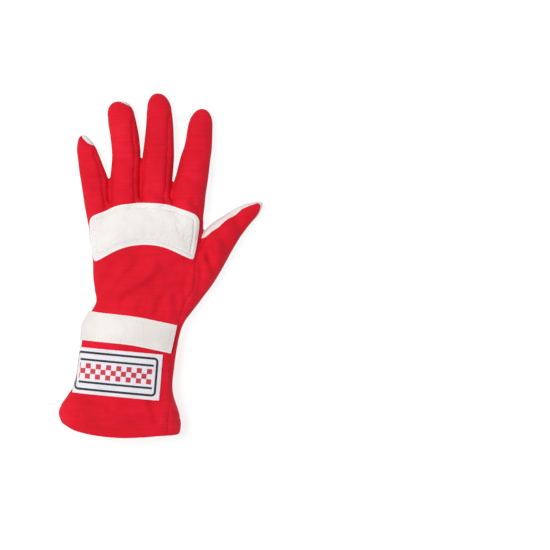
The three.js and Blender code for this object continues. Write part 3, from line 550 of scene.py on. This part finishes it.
# The glove's whole form, open at the hem
RING_POINTS, HAND_RINGS, DIGIT_STEP, TIP_RINGS = 144, 120, 0.02, 24
SMOOTHING_TURNS, SMOOTHED, GROWN_BACK, BRIDGING_TURNS = 5, 0.5, -0.51, 70
angles = np.linspace(0, 2 * np.pi, RING_POINTS, endpoint=False)
parts = [loft([hand_ring(angles, along) for along in np.linspace(-0.06, 1.955, HAND_RINGS)])]
for one in (LITTLE, RING, MIDDLE, INDEX, THUMB):
    body = np.arange(one["rows"]["at"][0], one["tip"], DIGIT_STEP)
    tip = one["tip"] + (1 - one["tip"]) * np.sin(np.linspace(0, 0.985, TIP_RINGS) * np.pi / 2)
    parts.append(loft([digit_ring(one, angles[::2], at) for at in (*body, *tip)]))
base, faces = remeshed(*joined(parts), VOXEL)
for _ in range(SMOOTHING_TURNS):
    base = spread(base, faces, 1, SMOOTHED)
    base = spread(base, faces, 1, GROWN_BACK)
base[:, 2] = np.maximum(base[:, 2], 0)

# The cloth is stretched over the knuckles, so it bridges the dips between the fingers' roots
near = np.clip(1 + within(base[:, :2], curve(PATCH_OUTLINE)) / 8, 0, 1)
near *= np.clip(normals(base, faces)[:, 2] * 4, 0, 1)
bridged = spread(base[:, 2], faces, BRIDGING_TURNS, least=base[:, 2])
base[:, 2] += near * near * (3 - 2 * near) * (bridged - base[:, 2])

base, faces = cut_along(base, faces, hem_zone(base))
base, faces, _ = keep(base, faces, hem_zone(middles(base, faces)) > 0)

PAIRS = {"little_ring": (LITTLE, RING), "ring_middle": (RING, MIDDLE), "middle_index": (MIDDLE, INDEX)}
fields = [leather_zone, side_zone, cuff_zone]
fields += [lambda p, pair=pair: fourchette_zone(p, *pair) for pair in PAIRS.values()]
for field in fields:
    base, faces = cut_along(base, faces, field(base))


def panel_of(p):
    """The number of the panel that each point lies in."""
    leather, low, side, cuff = leather_zone(p) > 0, low_zone(p) > 0, side_zone(p) > 0, cuff_zone(p) > 0
    number = np.zeros(len(p), int)
    for i, pair in enumerate(PAIRS.values()):
        number[~leather & (fourchette_zone(p, *pair) > 0)] = 4 + i
    number[~leather & side] = 2
    number[leather] = 1
    number[(low | side) & cuff] = 3
    return number


PANELS = ("back_panel", "palm_panel", "thumb_panel", "cuff_panel")
PANELS += tuple(f"fourchette_{pair}" for pair in PAIRS)
number = panel_of(middles(base, faces))
to_seam = distance_to(base, base[np.unique(joints(faces, number))])
ups = normals(base, faces)

# Seams draw the cloth in and puff it beside them, folds press and lift it, the rest of it is never quite even,
# and the sides and what the sheets cover stay smoother
SEAM_GROOVE, SEAM_PUFF, FOLD_STRENGTH, FOLD_PUFF = 0.55, 0.35, 1.45, 0.35
ROUGH_BROAD, ROUGH_FINE, HEM_GROOVE, HEM_PUFF, HEM_ROUND, COVERED = 0.55, 0.28, 0.55, 0.25, 0.7, 0.25
depth = SEAM_GROOVE * bell(to_seam, 1.4) - SEAM_PUFF * bell(to_seam - 4.2, 2.6)
upward = np.clip(ups[:, 2] * 1.6, 0, 1)
for x, y, to_x, to_y, width, deep in np.stack(list(FOLDS.values()), 1):
    run = np.array([to_x - x, to_y - y])
    away = base[:, :2] - [x, y]
    t = np.clip(away @ run / (run @ run), 0, 1)
    far = np.linalg.norm(away - t[:, None] * run, axis=1) / width
    depth += FOLD_STRENGTH * upward * deep * (bell(far, 1) - FOLD_PUFF * bell(far - 1.7, 0.8))
rough = rippled(base, 17, ROUGH_BROAD) + rippled(base, 7.5, ROUGH_FINE)
hem_in = hem_zone(base)
depth += rough * np.clip(hem_in / 12, 0.3, 1)
depth *= 0.25 + 0.75 * np.clip(np.abs(ups[:, 2]) * 1.6, 0, 1)
depth += HEM_GROOVE * bell(hem_in - HEM_HEIGHT, 1.1) - HEM_PUFF * bell(hem_in - HEM_HEIGHT / 2, 5)
depth += HEM_ROUND * bell(hem_in, 0.9)
for zone in (patch_zone, strap_zone, label_zone):
    covered = np.clip(zone(base) / 1.2, 0, 1)
    depth = depth * (1 - covered) + COVERED * covered
form, form_faces = base, faces
skin = base - ups * depth[:, None]
skin[:, 2] = np.maximum(skin[:, 2], 0.0)
inward = spread(normals(skin, faces), faces, 4)
inward /= np.linalg.norm(inward, axis=1, keepdims=True)


# Materials
def linear(red, green, blue):
    """A colour as the shader takes it, from the three numbers up to 255 that a screen shows."""
    return tuple(((c / 255 + 0.055) / 1.055) ** 2.4 if c > 10 else c / 255 / 12.92 for c in (red, green, blue)) + (1,)


class Looks:
    """A material's nodes, with the few helpers that its recipes need."""

    def __init__(self, name):
        self.material = bpy.data.materials.new(name)
        self.material.use_nodes = True
        self.tree = self.material.node_tree
        self.shader = self.tree.nodes["Principled BSDF"]
        self.place = self.add("ShaderNodeTexCoord").outputs["Object"]

    def add(self, kind, **values):
        node = self.tree.nodes.new(kind)
        for key, value in values.items():
            if key in node.inputs:
                node.inputs[key].default_value = value
            else:
                setattr(node, key, value)
        return node

    def join(self, source, target):
        self.tree.links.new(source, target)

    def scaled(self, x, y, z):
        node = self.add("ShaderNodeMapping")
        node.inputs["Scale"].default_value = (x, y, z)
        self.join(self.place, node.inputs["Vector"])
        return node.outputs["Vector"]

    def noise(self, scale, detail=2.0, stretch=(1, 1, 1)):
        node = self.add("ShaderNodeTexNoise", Scale=scale, Detail=detail)
        self.join(self.scaled(*stretch), node.inputs["Vector"])
        return node.outputs["Fac"]

    def wave(self, scale, direction, distortion, detail=1, detail_scale=1, stretch=(1, 1, 1)):
        node = self.add("ShaderNodeTexWave", Scale=scale, Distortion=distortion, Detail=detail)
        node.bands_direction = direction
        node.inputs["Detail Scale"].default_value = detail_scale
        self.join(self.scaled(*stretch), node.inputs["Vector"])
        return node.outputs["Fac"]

    def sum(self, one, other, amount):
        node = self.add("ShaderNodeMath", operation="MULTIPLY_ADD")
        node.inputs[1].default_value = amount
        self.join(other, node.inputs[0])
        self.join(one, node.inputs[2])
        return node.outputs[0]

    def scaled_value(self, value, factor):
        node = self.add("ShaderNodeMath", operation="MULTIPLY")
        node.inputs[1].default_value = factor
        self.join(value, node.inputs[0])
        return node.outputs[0]

    def colours(self, value, *stops):
        node = self.add("ShaderNodeValToRGB")
        ramp = node.color_ramp
        while len(ramp.elements) < len(stops):
            ramp.elements.new(0.5)
        for element, (at, colour) in zip(ramp.elements, stops):
            element.position, element.color = at, colour
        self.join(value, node.inputs[0])
        return node.outputs[0]

    def bump(self, height, distance, strength=1.0):
        node = self.add("ShaderNodeBump", Distance=distance, Strength=strength)
        self.join(height, node.inputs["Height"])
        self.join(node.outputs["Normal"], self.shader.inputs["Normal"])


def knit_material():
    looks = Looks("red_knit")
    rows, wales = looks.wave(95, "Y", 1.2, 2, 1.6, (1, 1, 0.4)), looks.wave(120, "X", 0.8)
    broad, fine = looks.noise(24, 3), looks.noise(900, 2, (1, 2.2, 1))
    streak = looks.noise(160, 2, (0.25, 1.6, 0.6))
    mixed = looks.sum(looks.sum(looks.sum(broad, streak, 0.45), fine, 0.4), rows, 0.06)
    shades = (0.3, linear(200, 8, 31)), (0.52, linear(223, 13, 41)), (0.78, linear(236, 34, 62))
    looks.join(looks.colours(looks.scaled_value(mixed, 0.5), *shades), looks.shader.inputs["Base Color"])
    looks.bump(looks.sum(looks.sum(fine, rows, 0.3), wales, 0.25), 0.0003, 0.5)
    looks.shader.inputs["Roughness"].default_value = 0.85
    looks.shader.inputs["Specular IOR Level"].default_value = 0.25
    looks.shader.inputs["Sheen Weight"].default_value = 0.08
    looks.shader.inputs["Sheen Roughness"].default_value = 0.4
    looks.shader.inputs["Sheen Tint"].default_value = linear(255, 90, 110)
    return looks.material


def leather_material(name, light, dark, grain, rough):
    looks = Looks(name)
    cells = looks.add("ShaderNodeTexVoronoi", Scale=grain, feature="SMOOTH_F1")
    looks.join(looks.scaled(1, 1, 1), cells.inputs["Vector"])
    broad, fine = looks.noise(30, 4), looks.noise(1400, 3)
    value = looks.sum(looks.sum(broad, fine, 0.35), cells.outputs["Distance"], 0.25)
    colour = looks.colours(looks.scaled_value(value, 0.6), (0.3, dark), (0.62, light))
    looks.join(colour, looks.shader.inputs["Base Color"])
    looks.bump(looks.sum(fine, cells.outputs["Distance"], 1.5), 0.0003, 0.5)
    looks.shader.inputs["Roughness"].default_value = rough
    looks.shader.inputs["Specular IOR Level"].default_value = 0.35
    return looks.material


def thread_material(name, light, dark):
    looks = Looks(name)
    value = looks.sum(looks.noise(500, 2), looks.wave(900, "DIAGONAL", 1), 0.5)
    looks.join(looks.colours(value, (0.3, dark), (0.9, light)), looks.shader.inputs["Base Color"])
    looks.bump(value, 0.0001, 0.4)
    looks.shader.inputs["Roughness"].default_value = 0.6
    return looks.material


def weave_material(name, light, dark):
    looks = Looks(name)
    weft, warp = looks.wave(420, "Y", 0.4), looks.wave(520, "X", 0.4)
    value = looks.sum(looks.sum(looks.noise(60, 3), weft, 0.3), warp, 0.2)
    looks.join(looks.colours(value, (0.35, dark), (0.95, light)), looks.shader.inputs["Base Color"])
    looks.bump(looks.sum(weft, warp, 0.8), 0.0002, 0.5)
    looks.shader.inputs["Roughness"].default_value = 0.75
    looks.shader.inputs["Sheen Weight"].default_value = 0.15
    return looks.material


KNIT = knit_material()
SUEDE = leather_material("pale_leather", linear(243, 239, 236), linear(225, 220, 217), 1100, 0.72)
STRAP = leather_material("strap_leather", linear(238, 233, 229), linear(220, 213, 208), 900, 0.62)
# A lighter leather for the edges of the patch and the strap: a painted highlight along their rims
EDGE_HIGHLIGHT = leather_material("painted_edge_highlight", linear(255, 252, 250), linear(244, 240, 238), 1000, 0.8)
THREAD = thread_material("white_thread", linear(250, 247, 242), linear(214, 210, 204))
RED_THREAD = thread_material("red_thread", linear(214, 26, 46), linear(160, 12, 28))
LABEL_WHITE = weave_material("label_weave", linear(240, 238, 245), linear(220, 218, 228))
LABEL_BLACK = weave_material("label_black", linear(48, 45, 50), linear(20, 18, 22))
LABEL_RED = weave_material("label_red", linear(214, 60, 74), linear(180, 38, 52))


def piece(name, points, faces, materials, slot, node=None, index=None):
    """A finished object of the glove, placed in the row's frame in metres."""
    mesh = mesh_from(name, (points - ORIGIN) / 1000, faces)
    made = bpy.data.objects.new(name, mesh)
    bpy.context.scene.collection.objects.link(made)
    for material in materials:
        mesh.materials.append(material)
    if index is not None:
        mesh.polygons.foreach_set("material_index", index.astype(np.int32))
    mesh.polygons.foreach_set("use_smooth", np.ones(len(faces), bool))
    mesh.update()
    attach(made, "root")
    if node:
        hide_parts(*node)
    return made


def sheet_on(zone, height, back, lines, detail, moved=None, stand=None):
    """A sheet over the shell inside a zone, cut finer along lines at the given distances inside its edge. Its outer
    face lies at height over the shell and its back at back, moved adds a move of its own, and stand lifts both."""
    points, own, _ = keep(form, form_faces, (zone(form)[form_faces] > -3).any(axis=1))
    move = moved(points, own, zone(points)) if moved else np.zeros_like(points)
    both = np.concatenate([points, move], axis=1)
    for _ in range(detail):
        both, own = finer(both, own)
    for line in lines:
        both, own = cut_along(both, own, zone(both) - line, 0.06)
    both = spread(both, own, 6)
    ups = normals(both[:, :3], own)
    both, own, used = keep(both, own, zone(middles(both, own)) > 0)
    points, move, ups = both[:, :3], both[:, 3:], ups[used]
    inside = np.maximum(zone(points), 0)
    if stand:
        points = points + ups * stand(points)[:, None]
    outer = points + ups * height(points, inside)[:, None] + move
    return outer, own, points + ups * back, inside


def blown_up(points, faces, inside):
    """How far a cloth simulation moves the pad's leather, sewn down outside its channel and full inside it."""
    work = bpy.data.objects.new("pad_work", mesh_from("pad_work", points / 1000, faces))
    bpy.context.scene.collection.objects.link(work)
    sewn = work.vertex_groups.new(name="sewn")
    sewn.add([int(i) for i in np.nonzero(inside < PAD_SEWN)[0]], 1.0, "REPLACE")
    cloth = work.modifiers.new("leather", "CLOTH")
    cloth.settings.vertex_group_mass = "sewn"
    cloth.settings.quality = 5
    cloth.settings.mass = 0.02
    cloth.settings.tension_stiffness = cloth.settings.compression_stiffness = 30
    cloth.settings.shear_stiffness = 12
    cloth.settings.bending_stiffness = 20
    cloth.settings.shrink_min = -0.006
    cloth.settings.use_pressure = True
    cloth.settings.uniform_pressure_force = PAD_PRESSURE
    cloth.settings.effector_weights.gravity = 0
    cloth.collision_settings.use_collision = False
    cloth.point_cache.frame_start, cloth.point_cache.frame_end = 1, PAD_FRAMES
    for time in range(1, PAD_FRAMES + 1):
        bpy.context.scene.frame_set(time)
    result = work.evaluated_get(bpy.context.evaluated_depsgraph_get()).to_mesh()
    out = np.empty(len(points) * 3, np.float32)
    result.vertices.foreach_get("co", out)
    bpy.data.objects.remove(work)
    bpy.context.scene.frame_set(1)
    return out.reshape(-1, 3).astype(float) * 1000 - points


def contour(points, faces, value):
    """The lines on a surface where value is 0, each as its points in order."""
    edges = np.sort(faces[:, [[0, 1], [1, 2], [2, 0]]].reshape(-1, 2), axis=1)
    low, high = value[edges[:, 0]], value[edges[:, 1]]
    crossing = (low > 0) != (high > 0)
    key = np.where(crossing, edges[:, 0] * len(points) + edges[:, 1], -1).reshape(-1, 3)
    t = np.where(crossing, low / np.where(crossing, low - high, 1), 0)[:, None]
    place = points[edges[:, 0]] + t * (points[edges[:, 1]] - points[edges[:, 0]])
    links, places = {}, {}
    for row in np.nonzero((key >= 0).sum(axis=1) == 2)[0]:
        a, b = key[row][key[row] >= 0]
        links.setdefault(a, []).append(b)
        links.setdefault(b, []).append(a)
        for k in range(3):
            places[key[row, k]] = place[row * 3 + k]
    lines, seen = [], set()
    for start in sorted(links, key=lambda k: (len(links[k]), k)):
        line = []
        while start is not None and start not in seen:
            seen.add(start)
            line.append(places[start])
            start = next((k for k in links[start] if k not in seen), None)
        if len(line) > 3:
            lines.append(np.array(line))
    return lines


def resampled(line, step):
    """Points about a step apart along a line."""
    lengths = np.concatenate([[0], np.cumsum(np.linalg.norm(np.diff(line, axis=0), axis=1))])
    at = np.arange(0, lengths[-1], step)
    return np.stack([np.interp(at, lengths, line[:, k]) for k in range(3)], 1)


def stitches(name, surface, lines, material, slot, pitch, length, radius, lift):
    """Short threads along lines on a surface, each sunk into it at both ends."""
    tree = BVHTree.FromPolygons([Vector(p) for p in surface[0]], [tuple(map(int, f)) for f in surface[1]])
    turn = np.linspace(0, -2 * np.pi, 6, endpoint=False)
    share = np.array([-0.5, -0.42, -0.2, 0.2, 0.42, 0.5])
    thick = np.array([0.25, 0.75, 1, 1, 0.75, 0.25])
    rise = np.array([-0.8, -0.2, 0.9, 0.9, -0.2, -0.8])
    threads = []
    for line in lines:
        places = resampled(line, pitch / 3)
        for k in range(1, len(places) - 3, 3):
            run = places[k + 2] - places[k - 1]
            middle = (places[k + 2] + places[k - 1]) / 2
            _, up, _, away = tree.find_nearest(Vector(middle))
            if up is None or away > 2 or np.linalg.norm(run) < 0.6 * pitch:
                continue
            run, up = run / np.linalg.norm(run), np.array(up)
            side = np.cross(up, run)
            rings = [
                middle + run * (s * length) + up * (lift * r)
                + radius * w * (np.cos(turn)[:, None] * side + np.sin(turn)[:, None] * up)
                for s, w, r in zip(share, thick, rise)
            ]
            threads.append(loft(rings))
    return piece(name, *joined(threads), [material], slot)


REPLACED = {
    "back_panel": ("back_panel", "little_back", "ring_back", "middle_back", "index_back"),
    "palm_panel": ("palm_panel", "little_front", "ring_front", "middle_front", "index_front", "thumb_front"),
}
HEM_THINNED = 0.9
for i, name in enumerate(PANELS):
    points, own, used = keep(skin, faces, number == i)
    rim = np.unique(rim_of(own))
    drawn = spread(points, own, 1, 0.06)
    at_hem = np.abs(hem_in[used][rim]) < 0.5
    points[rim[~at_hem]] = drawn[rim[~at_hem]]
    wall = np.where(hem_in[used] < HEM_HEIGHT, HEM_WALL, WALL) - HEM_THINNED * bell(hem_in[used], 1.2)
    inner = spread(points - inward[used] * wall[:, None], own, 3, held=rim)
    material, slot = (SUEDE, "pale_leather") if name == "palm_panel" else (KNIT, "red_knit")
    piece(f"cloth_{name}", *thickened(points, own, inner), [material], slot, REPLACED.get(name, (name,)))


def patch_height(points, inside):
    height = 0.4 + turned_edge(inside, 1.35, 1.1)
    height -= 0.85 * bell(inside - PAD_CHANNEL, 0.75)
    return height


def strap_height(points, inside):
    height = 0.4 + turned_edge(inside, 1.75, 0.7)
    height -= 0.25 * bell(inside - STRAP_CHANNEL, 0.5)
    return height + rippled(points, 9, 0.25) * np.clip(inside / 3, 0, 1)


def strap_stand(points):
    """The stiff strap stands off the narrowing wrist at the little finger's side."""
    return 1.4 * bell(points[:, 1] - 98.5, 6.5) * np.clip((-42 - points[:, 0]) / 6, 0, 1)


def label_height(points, inside):
    return 0.35 + turned_edge(inside, 0.6, 0.3) + rippled(points, 11, 0.15)


def sheet_piece(name, outer, own, back, materials, slot, node, index, rim_index=0):
    """A sheet as a closed wall: index is the material of each outer triangle, and rim_index that of its edge."""
    closed, all_faces = thickened(outer, own, back)
    numbers = np.full(len(all_faces), rim_index)
    numbers[: len(own)] = index
    numbers[len(own) : 2 * len(own)] = 0
    return piece(name, closed, all_faces, materials, slot, (node,), numbers)


def edge_faces(own, inside, width):
    """1 for the triangles within width of a sheet's edge, and 0 for the rest."""
    return (inside[own].mean(axis=1) < width).astype(int)


DETAIL = 1
pad = blown_up
PATCH_LINES, STRAP_LINES = (0.15, 0.5, 1.1, 3.4, PAD_CHANNEL, 5.0), (0.12, 0.35, 0.7, STRAP_CHANNEL)
outer, own, back, inside = sheet_on(patch_zone, patch_height, 0.3, PATCH_LINES, DETAIL, pad)
# The triangles within 1.1 mm of the patch's edge, and its edge walls, take the painted edge highlight
rim = edge_faces(own, inside, 1.1)
patch = sheet_piece("padded_patch", outer, own, back, [SUEDE, EDGE_HIGHLIGHT], "pale_leather", "knuckle_patch", rim, 1)
lines = contour(outer, own, inside - PAD_CHANNEL)
stitches("patch_stitches", (outer, own), lines, THREAD, "pale_leather", 2.9, 2.0, 0.28, 0.1)

outer, own, back, inside = sheet_on(strap_zone, strap_height, 0.3, STRAP_LINES, DETAIL, None, strap_stand)
# The triangles within 0.7 mm of the strap's edge, and its edge walls, take the painted edge highlight
rim = edge_faces(own, inside, 0.7)
sheet_piece("strap_band", outer, own, back, [STRAP, EDGE_HIGHLIGHT], "strap_leather", "wrist_strap", rim, 1)
lines = contour(outer, own, inside - STRAP_CHANNEL)
stitches("strap_stitches", (outer, own), lines, THREAD, "strap_leather", 2.6, 1.8, 0.26, 0.08)

# The label's rounded black border, and a plain chequered band between two stripes inside it
BORDER, BORDER_WIDTH, BORDER_ROUND, BORDER_LEFT = 3.1, 2.0, 7.1, 2.6
DESIGN = BORDER + BORDER_WIDTH + 1.8
CHECK, CHECK_ROWS, CHECK_START, CHECK_COLUMNS = 4.5, 3, 8, 17
BAND = CHECK * CHECK_ROWS / 2
STRIPE, STRIPE_GAP, YARN_RAISED = 1.9, 2.2, 0.12


def label_frame(p):
    """Distance from the label's edges, as rounded as its border."""
    along, up, left = label_place(p)
    side, end = np.minimum(up, 2 * LABEL_HALF - up), np.minimum(along, left + BORDER_LEFT)
    corner = BORDER_ROUND - np.hypot(np.maximum(BORDER_ROUND - side, 0), np.maximum(BORDER_ROUND - end, 0))
    return np.where((side < BORDER_ROUND) | (end < BORDER_ROUND), corner, np.minimum(side, end))


def label_colours(p):
    """0 white, 1 black and 2 red."""
    along, up, _ = label_place(p)
    edge = label_frame(p)
    number = np.where((edge > BORDER) & (edge < BORDER + BORDER_WIDTH), 1, 0)
    middle = up - LABEL_HALF
    design = edge > DESIGN
    column, row = np.floor((along - CHECK_START) / CHECK), np.floor((middle + BAND) / CHECK)
    number[design & (column >= 0) & (np.abs(middle) < BAND) & ((column + row) % 2 == 0)] = 2
    off = np.abs(middle) - BAND - STRIPE_GAP
    number[design & (off > 0) & (off < STRIPE)] = 1
    return number


outer, own, back, inside = sheet_on(label_zone, label_height, 0.25, (0.1, 0.3), DETAIL)
heights = [*np.arange(-BAND, BAND + 0.1, CHECK)]
for at in (BAND + STRIPE_GAP, BAND + STRIPE_GAP + STRIPE):
    heights += [at, -at]
cuts = [lambda p, at=at: label_frame(p) - at for at in (BORDER, BORDER + BORDER_WIDTH, DESIGN)]
cuts += [lambda p, at=at: label_place(p)[1] - LABEL_HALF - at for at in heights]
cuts += [lambda p, at=at: label_place(p)[0] - at for at in CHECK_START + CHECK * np.arange(CHECK_COLUMNS)]
both = np.concatenate([outer, back], axis=1)
for cut in cuts:
    both, own = cut_along(both, own, cut(both), 0.05)
outer, back = both[:, :3], both[:, 3:]
colours = label_colours(middles(outer, own))
raised = np.zeros(len(outer))
raised[np.unique(own[colours > 0])] = YARN_RAISED
outer = outer + normals(outer, own) * raised[:, None]
yarns = [LABEL_WHITE, LABEL_BLACK, LABEL_RED]
label = sheet_piece("woven_label", outer, own, back, yarns, "label_weave", "label_patch", colours)
lines = contour(outer, own, label_zone(outer) - LABEL_SEWN)
sewn = stitches("label_stitches", (outer, own), lines, THREAD, "label_weave", 2.3, 1.6, 0.22, 0.05)

# The hem's sewn line, and the second line beside the long seam of the back, kept off the leather and without
# the scraps and jumps that the seam's crossings leave
SIDE_SEWN, OFF_LEATHER, LEAST_POINTS, LONGEST_JUMP = 2.4, -1.5, 8, 6
hem_lines = contour(skin, faces, hem_in - HEM_HEIGHT)
stitches("hem_stitches", (skin, faces), hem_lines, RED_THREAD, "red_knit", 3.0, 2.0, 0.3, 0.05)
side_lines = [line[leather_zone(line) < OFF_LEATHER] for line in contour(skin, faces, side_zone(skin) + SIDE_SEWN)]
side_lines = [line for line in side_lines if len(line) > LEAST_POINTS]
side_lines = [line for line in side_lines if np.abs(np.diff(line, axis=0)).max() < LONGEST_JUMP]
stitches("side_stitches", (skin, faces), side_lines, RED_THREAD, "red_knit", 2.8, 1.9, 0.26, 0.05)

# The camera straight above, as the photo shows the glove, with soft light and a plain floor
camera_data = bpy.data.cameras.new("camera")
camera_data.lens = 408.0
camera_data.sensor_width = 36.0
camera_data.clip_end = 20
camera = bpy.data.objects.new("camera", camera_data)
camera.location = (0.1006, -0.0079, 5.5)
bpy.context.scene.collection.objects.link(camera)
bpy.context.scene.camera = camera

FLOOR = -0.0003
floor_mesh = bpy.data.meshes.new("floor")
floor_mesh.from_pydata([(-4, -4, FLOOR), (4, -4, FLOOR), (4, 4, FLOOR), (-4, 4, FLOOR)], [], [(0, 1, 2, 3)])
floor = bpy.data.objects.new("floor", floor_mesh)
bpy.context.scene.collection.objects.link(floor)
paper = Looks("floor_paper")
greys = (0.3, (0.21, 0.21, 0.21, 1)), (0.7, (0.22, 0.22, 0.22, 1))
paper.join(paper.colours(paper.noise(3, 2), *greys), paper.shader.inputs["Base Color"])
paper.shader.inputs["Roughness"].default_value = 0.9
paper.shader.inputs["Emission Color"].default_value = (1, 1, 1, 1)
paper.shader.inputs["Emission Strength"].default_value = 0.8
floor_mesh.materials.append(paper.material)


def lamp(name, place, size, power):
    data = bpy.data.lights.new(name, "AREA")
    data.shape, data.size, data.energy = "DISK", size, power
    made = bpy.data.objects.new(name, data)
    made.location = place
    made.rotation_euler = (-Vector(place)).to_track_quat("-Z", "Y").to_euler()
    made.visible_camera = False
    bpy.context.scene.collection.objects.link(made)


lamp("key", (-1.5, 0.2, 4.0), 1.5, 124)
world = bpy.data.worlds.new("studio")
world.use_nodes = True
world.node_tree.nodes["Background"].inputs["Color"].default_value = (1, 1, 1, 1)
world.node_tree.nodes["Background"].inputs["Strength"].default_value = 0.42
bpy.context.scene.world = world
bpy.context.scene.view_settings.view_transform = "Standard"
